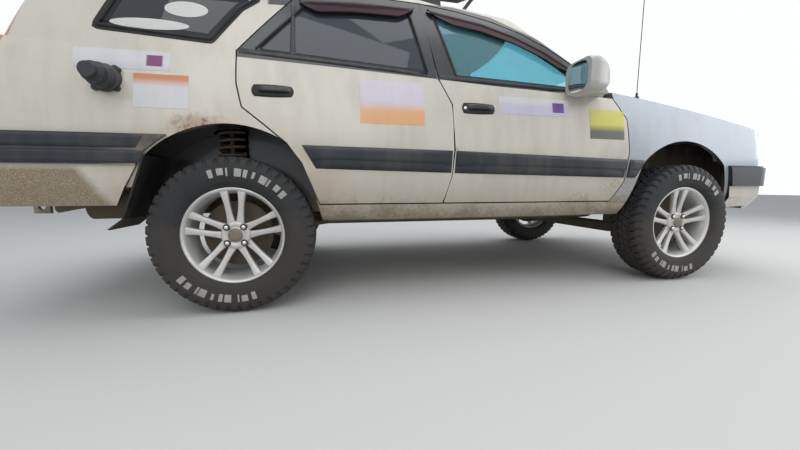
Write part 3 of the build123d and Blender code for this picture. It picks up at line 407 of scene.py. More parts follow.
def make_materials():
    """Every material of the car by name."""
    sizes = bpy.context.scene.rally_car
    cream, cold = tuple(sizes.cream_paint), tuple(sizes.cold_paint)
    made = {
        "paint_door": paint_material("paint_door", cream, 0.55, [low_dust], above_belt=True),
        "paint_rear_quarter": paint_material("paint_rear_quarter", cream, 0.55, [rust_patch, low_dust],
                                             deep_well_shade=True, gutter=True),
        "paint_front": paint_material("paint_front", cold, 0.60, [low_dust], deep_well_shade=True),
        "paint_roof": paint_material("paint_roof", cream, 0.3, gutter=True),
        "paint_front_bumper": paint_material("paint_front_bumper", cream, 0.50, band=(0.566, 0.70)),
        "paint_rear_bumper": paint_material("paint_rear_bumper", cream, 0.50, [bumper_mud],
                                            band=(0.650, 0.80)),
        "body_glass": body_glass(),
        "lamp_lens": headlamp_material(),
        "lamp_red": tail_lamp_material(),
        "tyre_lettered": lettered_tyre(),
    }
    for name, (colour, roughness, metallic, inputs, film) in PLAIN_FINISHES.items():
        material = new_material(name, colour, roughness, metallic, **inputs)
        made[name] = weathered(material, *film) if film else material
    return made


def add_ribs(tree, direction, scale, strength, distance):
    """Fine ribs in a lens, as waves of the surface along one axis."""
    ribs = add_node(tree, "ShaderNodeTexWave", {"Vector": object_vector(tree), "Scale": scale},
                    bands_direction=direction)
    bump = add_node(tree, "ShaderNodeBump", {"Height": ribs.outputs["Fac"], "Strength": strength,
                                             "Distance": distance})
    tree.links.new(bump.outputs[0], tree.nodes["Principled BSDF"].inputs["Normal"])


def tail_lamp_material():
    """Red lamp with an amber band and a clear band lower down."""
    material = new_material("lamp_red", (0.35, 0.012, 0.014), 0.12, Coat_Weight=0.6)
    tree = material.node_tree
    height = axes_of(tree, object_vector(tree))["Z"]
    amber = stretch(tree, height, 1.020, 1.150, 0.001)
    clear = stretch(tree, height, 0.910, 1.000, 0.001)
    colour = mix_colour(tree, amber, (0.35, 0.012, 0.014), (0.70, 0.20, 0.015))
    colour = mix_colour(tree, clear, colour, (0.70, 0.70, 0.72))
    add_ribs(tree, "Z", 26.0, 0.25, 0.002)
    colour_from(material, colour)
    return material


def headlamp_material():
    """Clear ribbed lens, amber at its outer corner."""
    material = new_material("lamp_lens", (0.70, 0.72, 0.75), 0.08, Transmission_Weight=0.35, Coat_Weight=0.8)
    tree = material.node_tree
    axes = axes_of(tree, object_vector(tree))
    corner = between(tree, maths(tree, "ABSOLUTE", axes["Y"]), 0.664, 0.666)
    mirrored = vector_maths(tree, "ABSOLUTE", object_vector(tree))
    bowl = between(tree, vector_maths(tree, "DISTANCE", mirrored, (2.02, 0.50, 0.808)), 0.062, 0.056)
    colour = mix_colour(tree, bowl, (0.20, 0.215, 0.235), (0.72, 0.74, 0.76))
    colour = mix_colour(tree, corner, colour, (0.80, 0.20, 0.03))
    colour_from(material, colour)
    add_ribs(tree, "Y", 22.0, 0.3, 0.003)
    return material


def body_glass():
    """Green windscreen and dark rear quarter panes in one material, split by their place."""
    material = new_material("body_glass", CLEAR_TINT, 0.02, Transmission_Weight=0.8, IOR=1.5)
    tree = material.node_tree
    axes = axes_of(tree, object_vector(tree))
    rear = between(tree, axes["X"], -0.30, -0.31)
    colour = mix_colour(tree, rear, CLEAR_TINT, DARK_TINT)
    colour_from(material, colour)
    return material


def two_tone(name, first, second, split, third):
    """A blank sticker: first above and second below split of its height, third as a block at one end."""
    material = new_material(name, first, 0.35)
    tree = material.node_tree
    surface = add_node(tree, "ShaderNodeUVMap", uv_map="surface").outputs[0]
    axes = axes_of(tree, surface)
    colour = mix_colour(tree, between(tree, axes["Y"], split + 0.12, split - 0.12), first, second)
    if third:
        block = both(tree, stretch(tree, axes["X"], 0.75, 0.92, 0.01),
                     stretch(tree, axes["Y"], 0.21, 0.79, 0.01))
        colour = mix_colour(tree, block, colour, third)
    colour_from(material, colour)
    return weathered(material, 0.5, 0.2, 0.15, 0.03)


def lettered_tyre():
    """Tyre rubber whose raised bars are white, read from the mesh attribute raised_bars."""
    material = new_material("tyre_lettered", (0.012, 0.013, 0.015), 0.68)
    tree = material.node_tree
    raised = add_node(tree, "ShaderNodeAttribute", attribute_name="raised_bars").outputs["Fac"]
    bars = between(tree, raised, 0.4, 0.6)
    colour = mix_colour(tree, bars, (0.012, 0.013, 0.015), (0.42, 0.41, 0.39))
    colour_from(material, colour)
    return weathered(material, 0.50, 0.12, 0.28, 0.35, 160, (0.055, 0.052, 0.047))


NODE_FINISH = {
    "paint_door": ["door_front_right", "door_front_left", "door_rear_right", "door_rear_left"],
    "paint_rear_quarter": ["body_side_right", "body_side_left", "tailgate", "floor_pan"],
    "paint_front": ["front_wings", "bonnet"],
    "mirror_paint": ["mirror_right", "mirror_left"],
    "paint_roof": ["roof"],
    "paint_front_bumper": ["front_bumper"],
    "paint_rear_bumper": ["rear_bumper"],
    "dark_trim": ["grille", "side_vent", "aerial"],
    "black_rubber": ["mudflaps"],
    "tyre_rubber": ["tyre_front_right", "tyre_front_left", "tyre_rear_right", "tyre_rear_left"],
    "alloy": ["wheel_front_right", "wheel_front_left", "wheel_rear_right", "wheel_rear_left"],
    "chassis": ["front_frame", "rear_axle", "rear_springs", "prop_shaft", "exhaust", "fuel_tank",
                "engine_and_gearbox", "knuckle_right", "knuckle_left"],
    "rack_black": ["roof_rack"],
    "cabin_plastic": ["dashboard", "steering_wheel", "bulkhead"],
    "tinted_glass": ["glass_rear_right", "glass_rear_left", "tailgate_glass"],
    "clear_glass": ["glass_front_right", "glass_front_left"],
    "body_glass": ["fixed_windows"],
    "lamp_lens": ["headlamps"],
    "lamp_red": ["tail_lamps"],
}
FINISH = {}


def add_piece(name, mesh, material, body):
    """Show a mesh as a piece that moves with a body, under its material."""
    mesh.materials.append(FINISH[material])
    piece = bpy.data.objects.new(name, mesh)
    bpy.context.scene.collection.objects.link(piece)
    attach(piece, body)
    return piece


# Surfaces worked out with numpy

def grid_mesh(name, points, material, body, thickness=0.0, close_u=False, close_v=False, uv=True):
    """A piece from a grid of points (rows, columns, 3); each cell becomes one quad facing outwards."""
    rows, columns = points.shape[:2]
    u_last, v_last = rows - (not close_u), columns - (not close_v)
    i, j = np.meshgrid(np.arange(u_last), np.arange(v_last), indexing="ij")
    i2, j2 = (i + 1) % rows, (j + 1) % columns
    faces = np.stack([i * columns + j, i2 * columns + j, i2 * columns + j2, i * columns + j2], -1).reshape(-1,
                                                                                                           4)
    mesh = bpy.data.meshes.new(name)
    mesh.from_pydata(points.reshape(-1, 3).tolist(), [], faces.tolist())
    if uv:
        layer = mesh.uv_layers.new(name="surface")
        loops = np.empty(len(mesh.loops), np.int32)
        mesh.loops.foreach_get("vertex_index", loops)
        coordinates = np.stack([(loops // columns) / (rows - 1), (loops % columns) / (columns - 1)], -1)
        layer.data.foreach_set("uv", coordinates.astype(np.float32).ravel())
    mesh.polygons.foreach_set("use_smooth", np.ones(len(mesh.polygons), bool))
    piece = add_piece(name, mesh, material, body)
    if thickness:
        solid = piece.modifiers.new("wall", "SOLIDIFY")
        solid.thickness, solid.offset = thickness, -1
    return piece


def node_triangles(*names):
    """All triangles of CAD nodes as an array (count, 3 corners, xyz), in metres."""
    found = []
    for name in names:
        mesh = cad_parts[name].data
        mesh.calc_loop_triangles()
        corners = np.empty(len(mesh.loop_triangles) * 3, np.int32)
        mesh.loop_triangles.foreach_get("vertices", corners)
        places = np.empty(len(mesh.vertices) * 3)
        mesh.vertices.foreach_get("co", places)
        found.append(places.reshape(-1, 3)[corners].reshape(-1, 3, 3))
    return np.concatenate(found)


def project(names, first, second, axis, sign):
    """Outermost coordinate of the named nodes along an axis, at places given by the other two coordinates.

    Each place takes the triangle that holds it in that view, and a place off the nodes takes the value of
    the nearest place that is on them.
    """
    triangles = node_triangles(*names)
    m, n = [k for k in range(3) if k != axis]
    a, b, c = triangles[:, 0], triangles[:, 1], triangles[:, 2]
    area = (b[:, m] - a[:, m]) * (c[:, n] - a[:, n]) - (c[:, m] - a[:, m]) * (b[:, n] - a[:, n])
    keep = np.abs(area) > 1e-9
    a, b, c, area = a[keep], b[keep], c[keep], area[keep]
    p, q = first.ravel()[:, None], second.ravel()[:, None]
    u = ((p - a[:, m]) * (c[:, n] - a[:, n]) - (c[:, m] - a[:, m]) * (q - a[:, n])) / area
    v = ((b[:, m] - a[:, m]) * (q - a[:, n]) - (p - a[:, m]) * (b[:, n] - a[:, n])) / area
    inside = (u >= -1e-4) & (v >= -1e-4) & (u + v <= 1.0001)
    depth = a[:, axis] + u * (b[:, axis] - a[:, axis]) + v * (c[:, axis] - a[:, axis])
    best = np.max(np.where(inside, depth * sign, -9.0), axis=1)
    missing = best < -8
    if missing.any() and not missing.all():
        known = np.where(~missing)[0]
        gap = (p[missing] - p[known].T) ** 2 + (q[missing] - q[known].T) ** 2
        best[missing] = best[known[np.argmin(gap, axis=1)]]
    return (best * sign).reshape(first.shape)


def surface_at(names, axis, sign, first, second):
    """The same for a single place."""
    return float(project(names, np.array([first]), np.array([second]), axis, sign)[0])


def rectangle(x0, x1, z0, z1):
    """Corners (x, z) in the order top rear, top front, bottom front, bottom rear."""
    return [(x0, z1), (x1, z1), (x1, z0), (x0, z0)]


def skin_y(names, x, z, side):
    """Outermost y of the named nodes at each (x, z)."""
    return project(names, x, z, 1, side)


def side_pad(name, names, corners, side, material, body, height, shape=(24, 8), roundness=0.0, edge=6.0,
             lift=0.0006):
    """A pad on the side of the body.

    The four corners (x, z) run top rear, top front, bottom front, bottom rear. A unit square is blended
    between them and its corners are drawn in by roundness. Each point stands off the skin by
    height * (1 - u^edge)(1 - v^edge) and by lift.
    """
    u, v = np.meshgrid(np.linspace(-1, 1, shape[0]), np.linspace(-1, 1, shape[1]), indexing="ij")
    su = u * np.sqrt(1 - roundness * v * v / 2)
    sv = v * np.sqrt(1 - roundness * u * u / 2)
    (ax, az), (bx, bz), (cx, cz), (dx, dz) = corners
    s, t = (su + 1) / 2, (1 - sv) / 2
    x = (1 - t) * ((1 - s) * ax + s * bx) + t * ((1 - s) * dx + s * cx)
    z = (1 - t) * ((1 - s) * az + s * bz) + t * ((1 - s) * dz + s * cz)
    off = lift + height * (1 - np.abs(u) ** edge) * (1 - np.abs(v) ** edge)
    y = skin_y(names, x, z, side) + side * off
    points = np.stack([x, y, z], -1)
    if side > 0:
        points = points[::-1]
    return grid_mesh(name, points, material, body)


class RALLY_OT_materials(bpy.types.Operator):
    """Gives every CAD node shown its finish"""

    bl_idname = "rally.materials"
    bl_label = "Finishes"

    def execute(self, context):
        make_groups()
        FINISH.update(make_materials())
        for finish, names in NODE_FINISH.items():
            for name in names:
                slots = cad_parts[name].data.materials
                slots.clear()
                slots.append(FINISH[finish])
        return {"FINISHED"}


FLOOR_REACH = 30.0
CAMERA_PLACE = (-0.743, -2.366, 0.561)
CAMERA_TURN = (math.radians(90 - 6.65), 0, math.radians(-12.40))
# Lights: name, place, width and power; all face AIM
LIGHTS = [("key", (-1.5, -5.0, 4.5), 5.0, 120), ("top", (0.5, 0.5, 5.5), 6.0, 170),
          ("front", (5.5, -2.0, 3.0), 4.0, 110)]
AIM = (0.0, 0.0, 0.7)


class RALLY_OT_stage(bpy.types.Operator):
    """Pale floor, soft light and the camera at the photograph's place"""

    bl_idname = "rally.stage"
    bl_label = "Stage"

    def execute(self, context):
        scene = context.scene
        scene.view_settings.view_transform = "Standard"
        world = bpy.data.worlds.new("studio")
        scene.world = world
        world.use_nodes = True
        background = world.node_tree.nodes["Background"]
        background.inputs[0].default_value = (0.86, 0.90, 0.95, 1)
        tree = world.node_tree
        rays = add_node(tree, "ShaderNodeLightPath").outputs
        glossy = maths(tree, "MULTIPLY", rays["Is Glossy Ray"], 0.7)
        through = maths(tree, "MAXIMUM", rays["Is Transmission Ray"], glossy)
        seen = maths(tree, "MAXIMUM", rays["Is Camera Ray"], through)
        strength = add_node(tree, "ShaderNodeMapRange", {"Value": seen, "To Min": 0.50, "To Max": 1.15})
        tree.links.new(strength.outputs["Result"], background.inputs[1])
        floor_mesh = bpy.data.meshes.new("floor")
        corners = [(FLOOR_REACH * a, FLOOR_REACH * b, 0) for a, b in ((-1, -1), (1, -1), (1, 1), (-1, 1))]
        floor_mesh.from_pydata(corners, [], [(0, 1, 2, 3)])
        floor = bpy.data.objects.new("floor", floor_mesh)
        scene.collection.objects.link(floor)
        floor_mesh.materials.append(new_material("floor_pale", (0.62, 0.62, 0.61), 0.85))
        for name, place, size, power in LIGHTS:
            light = bpy.data.lights.new(name, "AREA")
            light.size, light.energy = size, power
            lamp = bpy.data.objects.new(name, light)
            lamp.location = place
            direction = np.array(AIM) - np.array(place)
            yaw = math.atan2(direction[0], -direction[1])
            tilt = math.atan2(math.hypot(direction[0], direction[1]), -direction[2])
            lamp.rotation_euler = (tilt, 0, math.pi + yaw)
            scene.collection.objects.link(lamp)
        view = bpy.data.cameras.new("camera")
        view.lens = scene.rally_car.camera_lens
        view.sensor_width = 36.0
        camera = bpy.data.objects.new("camera", view)
        camera.location, camera.rotation_euler = CAMERA_PLACE, CAMERA_TURN
        scene.collection.objects.link(camera)
        scene.camera = camera
        return {"FINISHED"}


# Side mouldings: piece, body, nodes under it and the corners top rear, top front, bottom front, bottom rear
MOULDINGS = [
    ("rear_door", "door_rear_{}", ["door_rear_{}"],
     [(-0.850, 0.744), (-0.146, 0.735), (-0.152, 0.628), (-0.792, 0.642)]),
    ("front_door", "door_front_{}", ["door_front_{}"],
     [(-0.128, 0.735), (0.888, 0.712), (0.872, 0.612), (-0.136, 0.627)]),
    ("front_wing", SHELL, ["front_wings"], [(0.905, 0.712), (1.008, 0.710), (0.948, 0.612), (0.889, 0.612)]),
]


class RALLY_OT_mouldings(bpy.types.Operator):
    """Dark rubbing strips along doors and front wings"""

    bl_idname = "rally.mouldings"
    bl_label = "Side mouldings"

    def execute(self, context):
        depth = context.scene.rally_car.moulding_depth
        for label, side in SIDES:
            for name, body, names, corners in MOULDINGS:
                nodes = [n.format(label) for n in names]
                side_pad(f"moulding_{name}_{label}", nodes, corners, side, "dark_trim", body.format(label),
                         depth, (60, 12), 0.0, 10.0)
                (ax, az), (bx, bz), (cx, cz), (dx, dz) = corners
                ridge = [(ax + .006, az - .006), (bx - .006, bz - .006),
                         (bx + (cx - bx) * .62 - .006, cz + .040), (ax + (dx - ax) * .62 + .006, dz + .040)]
                side_pad(f"moulding_ridge_{name}_{label}", nodes, ridge, side, "dark_trim",
                         body.format(label), depth * 0.45, (60, 10), 0.0, 8.0, depth * 0.95)
            for name, low, high in (("upper", 0.716, 0.767), ("lower", 0.655, 0.706)):
                corners = [(-2.02, high), (-1.455, high), (-1.485, low), (-2.02, low)]
                side_pad(f"bumper_ridge_{name}_{label}", ["rear_bumper"], corners, side, "dark_trim", SHELL,
                         0.007, (60, 10), 0.0, 10.0)
        return {"FINISHED"}


def ring_grid(radius, across, angles):
    """Points of a surface of revolution about the Y axis. The profile may vary with the angle (rows)."""
    angles = angles[:, None] + 0 * radius
    return np.stack([radius * np.sin(angles), across + 0 * angles, radius * np.cos(angles)], -1)


def smooth_step(value, low, high):
    """0 below low, 1 above high, with soft ends."""
    t = np.clip((value - low) / (high - low), 0, 1)
    return t * t * (3 - 2 * t)


def stripe(value, period, width, soft):
    """1 inside stripes of the given width that repeat with the period."""
    distance = np.abs((value + period / 2) % period - period / 2)
    return 1 - smooth_step(distance, width / 2 - soft, width / 2 + soft)


TYRE_PITCHES = 46
# Outer tyre section from bead to tread middle: radius, half width
TYRE_SECTION = np.array([(0.199, 0.072), (0.206, 0.080), (0.213, 0.086), (0.222, 0.096), (0.240, 0.1040),
                         (0.258, 0.1072), (0.274, 0.1078), (0.290, 0.1072), (0.304, 0.1056), (0.315, 0.1030),
                         (0.325, 0.0985), (0.334, 0.0915), (0.3405, 0.083), (0.3435, 0.070), (0.3448, 0.050),
                         (0.3455, 0.025), (0.3458, 0.0)])


def tyre_surface(side):
    """All-terrain tyre about the Y axis.

    The section is revolved. Its radius drops by the tread depth where two zigzag grooves, slanting cross
    slots and fine sipes run. The side wall carries lugs, a raised ring and short raised bars.
    """
    steps = 2
    turns = TYRE_PITCHES * 8 * steps
    arc = np.concatenate([[0], np.cumsum(np.hypot(*np.diff(TYRE_SECTION, axis=0).T))])
    fine = np.interp(np.linspace(0, arc[-1], 44), arc, np.arange(len(arc)))
    radius = np.interp(fine, np.arange(len(arc)), TYRE_SECTION[:, 0])
    half = np.interp(fine, np.arange(len(arc)), TYRE_SECTION[:, 1])
    radius = np.concatenate([radius, radius[-2::-1]])
    across = np.concatenate([half, -half[-2::-1]])
    angles = np.linspace(0, 2 * np.pi, turns, endpoint=False)
    pitch = angles * TYRE_PITCHES / (2 * np.pi)
    a, w, r = np.broadcast_arrays(pitch[:, None], across[None], radius[None])
    wave = 0.006 * (2 * np.abs((a % 1) - 0.5) - 0.5) * 2
    crown = smooth_step(r, 0.325, 0.341)
    grooves = stripe(np.abs(w) - 0.036 - wave, 9.0, 0.009, 0.0015) + stripe(w + wave, 9.0, 0.006, 0.0012)
    slots = stripe(a + w * 9.0, 1.0, 0.22, 0.05) * (np.abs(w) > 0.040)
    inner = stripe(a - w * 14.0 + 0.5, 1.0, 0.14, 0.05) * (np.abs(w) <= 0.040)
    sipes = stripe(a + w * 6.0 + 0.25, 0.5, 0.06, 0.03) * 0.25
    depth = 0.0105 * np.clip(grooves + slots + inner + sipes, 0, 1) * crown
    shoulder = smooth_step(r, 0.306, 0.316) * (1 - smooth_step(r, 0.330, 0.341)) * (np.abs(w) > 0.08)
    notch = 0.0065 * stripe(a + np.sign(w) * 0.80, 1.0, 0.34, 0.07) * shoulder
    wall = np.where(w * side > 0, 1.0, 0.35)
    turn = np.broadcast_to(angles[:, None], r.shape)
    label = bar_pattern(turn, r) * (np.abs(w) > 0.09)
    ring = stripe(r - 0.233, 9.0, 0.004, 0.001) * 0.0012
    swell = (label * 0.0010 * wall + ring) * (np.abs(w) > 0.07)
    radius_out = r - depth - notch * 0.4
    across_out = w + np.sign(w) * (swell - notch)
    points = ring_grid(radius_out, across_out, angles)
    return points, label * wall


def bar_pattern(turn, r):
    """Groups of upright bars of uneven width: plain shapes where a real tyre has words."""
    words = ((turn + 0.3) % np.pi < 1.25)
    cell = ((turn + 0.3) % np.pi) / 0.125
    fill = 0.55 + 0.3 * np.sin(np.floor(cell) * 2.4)
    bars = words * ((cell % 1) < fill)
    low = 0.259 + 0.003 * np.sin(np.floor(cell) * 1.7)
    return bars * (r > low) * (r < 0.291)


def place_mesh(name, points, centre, material, body, **options):
    """A grid piece moved to its centre before it is made, so that its object stays at the origin."""
    return grid_mesh(name, points + np.array(centre), material, body, **options)


def revolve_profile(profile, turns):
    """A closed or open profile (radius, y) turned about the Y axis."""
    profile = np.array(profile)
    angles = np.linspace(0, 2 * np.pi, turns, endpoint=False)
    return ring_grid(np.broadcast_to(profile[:, 0], (turns, len(profile))), profile[:, 1], angles)


# Rim section from the outer flange over the well to the inner one: radius, and distance out from the middle
RIM_SECTION = [(0.196, 0.062), (0.2065, 0.080), (0.2115, 0.0835), (0.2115, 0.0862), (0.2065, 0.0872),
               (0.2035, 0.0845), (0.1985, 0.0800), (0.1960, 0.0700), (0.1905, 0.0560), (0.1860, 0.0300),
               (0.1840, 0.0000), (0.1860, -0.060), (0.1960, -0.074), (0.2065, -0.0855), (0.2105, -0.0855),
               (0.2105, -0.080), (0.2020, -0.074), (0.1975, -0.060), (0.1950, 0.000)]
SPOKE_PAIRS = 5
NUTS, NUT_CIRCLE = 4, 0.050
# Turned parts of a wheel: name, profile of (radius, distance outwards), steps round and finish
TURNED_PARTS = [
    ("boss", [(0, .030), (.058, .030), (.064, .040), (.062, .054), (.054, .060), (.040, .060), (.036, .056),
              (.032, .060), (.024, .064), (0, .065)], 64, "alloy"),
    ("brake_disc", [(0, -.020), (.150, -.020), (.150, -.010), (.148, -.008), (.085, -.008), (.082, .012),
                    (.060, .020), (0, .020)], 64, "disc_iron"),
    ("cap", [(.031, .0605), (.029, .0665), (.020, .0680), (0, .0685)], 48, "cap_brown"),
]
NUT_PARTS = [
    ("nut_pocket", [(.0155, .0585), (.0150, .0618), (0, .0618)], 24, "black_rubber"),
    ("nut", [(0, .052), (.0095, .052), (.0095, .066), (.0075, .069), (0, .069)], 6, "chrome"),
]


def turned_piece(name, profile, turns, side, centre, material, body):
    """A profile turned about the axle line, outwards on its side of the car."""
    points = revolve_profile(np.array(profile) * (1, side), turns)
    return place_mesh(name, points if side > 0 else points[:, ::-1], centre, material, body, close_u=True,
                      uv=False)


def upright_piece(name, profile, turns, centre, material):
    """A profile of (radius, height) turned about an upright line."""
    points = revolve_profile(profile, turns)[:, ::-1, [0, 2, 1]]
    return place_mesh(name, points, centre, material, SHELL, close_u=True, uv=False)


def spoke_surface(index, side):
    """One spoke of a twin pair, as a tube whose half width and depth change along its length.

    Along t from hub to rim the section is a rounded rectangle, half width 18.5 mm at both ends and 12.5
    mm midway; the outer face follows an arch from the hub boss out to the rim.
    """
    pair, lean = divmod(index, 2)
    t = np.linspace(0, 1, 20)[:, None]
    q = np.linspace(0, 2 * np.pi, 20, endpoint=False)[None]
    direction = pair * 2 * np.pi / SPOKE_PAIRS
    offset = (lean * 2 - 1) * (0.017 + 0.020 * t)
    radius = 0.046 + 0.150 * t
    width = 0.0125 + 0.006 * (2 * t - 1) ** 2
    face = 0.050 + 0.024 * t - 0.010 * np.sin(np.pi * t) * 0.4
    depth = 0.011 + 0.004 * t
    cq, sq = np.cos(q), np.sin(q)
    sx = np.sign(cq) * np.abs(cq) ** 0.45
    sy = np.sign(sq) * np.abs(sq) ** 0.45
    across = offset + sx * width
    y = side * (face - depth + sy * depth)
    x = radius * np.sin(direction) + across * np.cos(direction)
    z = radius * np.cos(direction) - across * np.sin(direction)
    points = np.stack([x + 0 * y, y + 0 * x, z + 0 * y], -1)
    return points if side > 0 else points[:, ::-1]


class RALLY_OT_wheels(bpy.types.Operator):
    """Tyres with tread, twin spoke alloys, dark discs and nuts in place of the plain wheels"""

    bl_idname = "rally.wheels"
    bl_label = "Tyres and wheels"

    def execute(self, context):
        for label, side in SIDES:
            surface, words = tyre_surface(side)
            for end, axle_x in (("front", FRONT_AXLE_X), ("rear", REAR_AXLE_X)):
                body = f"wheel_{end}_{label}"
                centre = (axle_x, side * WHEEL_Y, TYRE_RADIUS)
                tyre = place_mesh(f"tread_tyre_{end}_{label}", surface[:, ::-1], centre, "tyre_lettered",
                                  body, close_u=True, uv=False)
                layer = tyre.data.attributes.new("raised_bars", "FLOAT", "POINT")
                layer.data.foreach_set("value", words[:, ::-1].astype(np.float32).ravel())
                tyre.data.polygons.foreach_set("use_smooth", np.zeros(len(tyre.data.polygons), bool))
                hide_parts(f"tyre_{end}_{label}")
                section = np.array(RIM_SECTION) * (1, side)
                rim = revolve_profile(section if side > 0 else section[::-1], 96)
                rim_piece = place_mesh(f"rim_{end}_{label}", rim[:, ::-1], centre, "alloy", body,
                                       close_u=True, close_v=True, uv=False)
                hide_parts(f"wheel_{end}_{label}")
                for i in range(2 * SPOKE_PAIRS):
                    place_mesh(f"spoke_{i}_{end}_{label}", spoke_surface(i, side), centre, "alloy", body,
                               close_v=True, uv=False)
                for name, profile, turns, material in TURNED_PARTS:
                    turned_piece(f"{name}_{end}_{label}", profile, turns, side, centre, material, body)
                for nut in range(NUTS):
                    angle = math.pi / 4 + nut * math.tau / NUTS
                    x, z = NUT_CIRCLE * math.sin(angle), NUT_CIRCLE * math.cos(angle)
                    spot = (centre[0] + x, centre[1], centre[2] + z)
                    for name, profile, turns, material in NUT_PARTS:
                        turned_piece(f"{name}_{nut}_{end}_{label}", profile, turns, side, spot, material,
                                     body)
        return {"FINISHED"}


# Stickers on the right side: body, nodes under it, corners and finish
STICKERS = [
    ("long_rear", SHELL, ["body_side_right"], (-1.712, -1.364, 1.033, 1.114), "sticker_white_red"),
    ("square_rear", SHELL, ["body_side_right"], (-1.495, -1.294, 0.879, 1.017), "sticker_white_orange"),
    ("number", "door_rear_right", ["door_rear_right"], (-0.589, -0.287, 0.849, 1.051), "sticker_number"),
    ("long_front", "door_front_right", ["door_front_right"], (0.104, 0.510, 0.925, 1.013),
     "sticker_white_violet"),
    ("square_front", "door_front_right", ["door_front_right"], (0.638, 0.862, 0.818, 0.974),
     "sticker_yellow"),
]


PALE = (0.66, 0.66, 0.68)
# Finishes of the stickers: upper and lower colour, height of the change, and colour of the end block
TWO_TONES = [
    ("sticker_white_red", PALE, (0.60, 0.60, 0.64), 0.3, (0.20, 0.03, 0.17)),
    ("sticker_white_orange", (0.62, 0.22, 0.09), PALE, 0.76, None),
    ("sticker_number", (0.66, 0.62, 0.70), (0.78, 0.42, 0.20), 0.40, None),
    ("sticker_white_violet", PALE, (0.58, 0.56, 0.66), 0.6, (0.16, 0.08, 0.32)),
    ("sticker_yellow", (0.62, 0.60, 0.10), (0.10, 0.11, 0.09), 0.38, None),
]


class RALLY_OT_stickers(bpy.types.Operator):
    """Blank stickers on the right side"""

    bl_idname = "rally.stickers"
    bl_label = "Stickers"

    def execute(self, context):
        for name, first, second, split, third in TWO_TONES:
            FINISH[name] = two_tone(name, first, second, split, third)
        for name, body, names, (x0, x1, z0, z1), finish in STICKERS:
            side_pad(f"sticker_{name}", names, rectangle(x0, x1, z0, z1), -1, finish, body, 0.0003, (20, 12),
                     0.0, 20.0, 0.0008)
        return {"FINISHED"}


FRONT_WINDOW = [(-0.205, 1.432), (0.060, 1.405), (0.250, 1.358), (0.420, 1.290), (0.610, 1.180),
                (0.660, 1.088), (-0.110, 1.100)]
REAR_WINDOW = [(-0.815, 1.402), (-0.330, 1.432), (-0.255, 1.105), (-1.040, 1.150)]
QUARTER_WINDOW = [(-1.030, 1.400), (-1.100, 1.345), (-1.215, 1.185), (-1.640, 1.215), (-1.560, 1.400)]


def along(points, count, closed=False):
    """Evenly spaced points on a polyline."""
    points = np.array(points, float)
    if closed:
        points = np.vstack([points, points[:1]])
    length = np.concatenate([[0], np.cumsum(np.linalg.norm(np.diff(points, axis=0), axis=1))])
    marks = np.linspace(0, length[-1], count, endpoint=not closed)
    return np.stack([np.interp(marks, length, points[:, k]) for k in range(points.shape[1])], -1)


def tube(name, path, radius, material, body=SHELL, turns=10, closed=False, flat=1.0):
    """A round bar along a path of points; the section keeps square to the path, flat squeezes it upwards."""
    path = np.array(path, float)
    if closed:
        tangent = np.roll(path, -1, axis=0) - np.roll(path, 1, axis=0)
    else:
        tangent = np.gradient(path, axis=0)
    tangent /= np.linalg.norm(tangent, axis=1, keepdims=True)
    helper = np.where(np.abs(tangent[:, 2:3]) > 0.9, np.array([[1.0, 0, 0]]), np.array([[0, 0, 1.0]]))
    across = np.cross(helper, tangent)
    across /= np.linalg.norm(across, axis=1, keepdims=True)
    up = np.cross(tangent, across)
    radius = np.broadcast_to(radius, len(path))
    if not closed:
        path = np.vstack([path[:1], path, path[-1:]])
        across, up = (np.vstack([k[:1], k, k[-1:]]) for k in (across, up))
        radius = np.concatenate([[1e-5], radius, [1e-5]])
    q = np.linspace(0, 2 * np.pi, turns, endpoint=False)
    ring = np.cos(q)[None, :, None] * across[:, None] + flat * np.sin(q)[None, :, None] * up[:, None]
    points = path[:, None] + radius[:, None, None] * ring
    return grid_mesh(name, points[:, ::-1], material, body, close_u=closed, close_v=True, uv=False)


def seal(name, names, outline_points, side, body, radius=0.006, grow=0.0, count=120):
    """A rubber seal lying on the skin along a window's outline."""
    spots = np.array(outline_points)
    middle = spots.mean(axis=0)
    spots = along(middle + (spots - middle) * (1 + grow), count, True)
    y = skin_y(names, spots[:, 0], spots[:, 1], side)
    path = np.stack([spots[:, 0], y - side * radius * 0.2, spots[:, 1]], -1)
    return tube(name, path if side < 0 else path[::-1], radius, "black_rubber", body, 8, True)


def band(name, names, outline_points, inset, side, body):
    """A flat dark border on the glass, between the window's outline and the same line moved inwards."""
    spots = along(outline_points, 160, True)
    tangent = np.roll(spots, -2, axis=0) - np.roll(spots, 2, axis=0)
    inward = np.stack([-tangent[:, 1], tangent[:, 0]], -1)
    inward /= np.linalg.norm(inward, axis=1, keepdims=True)
    inward *= np.sign(np.sum(inward * (spots.mean(axis=0) - spots), axis=1).mean())
    t = np.linspace(0, 1, 4)[None, :, None]
    place = spots[:, None] + inward[:, None] * inset * t
    y = skin_y(names, place[..., 0], place[..., 1], side) + side * 0.0007
    points = np.stack([place[..., 0], y, place[..., 1]], -1)
    area = np.sum(spots[:, 0] * np.roll(spots[:, 1], -1) - np.roll(spots[:, 0], -1) * spots[:, 1])
    return grid_mesh(name, points if (area > 0) == (side < 0) else points[:, ::-1], "black_rubber", body,
                     close_u=True, uv=False)


def visor(name, names, top, side, body, width):
    """A smoked strip under the top edge of a door window, 2 mm off at its top and 16 mm at its foot."""
    top = along(top, 40)
    t = np.linspace(0, 1, 8)[None]
    taper = np.minimum(1, np.minimum(np.arange(40), np.arange(40)[::-1]) / 6)[:, None] ** 0.6
    z = top[:, 1:] + 0.012 - width * taper * t
    x = top[:, :1] + 0 * t
    y = skin_y(names, x, z, side) + side * (0.003 + 0.014 * t)
    points = np.stack([x, y, z], -1)
    return grid_mesh(name, points if side < 0 else points[::-1], "visor_smoke", body, thickness=0.0025)


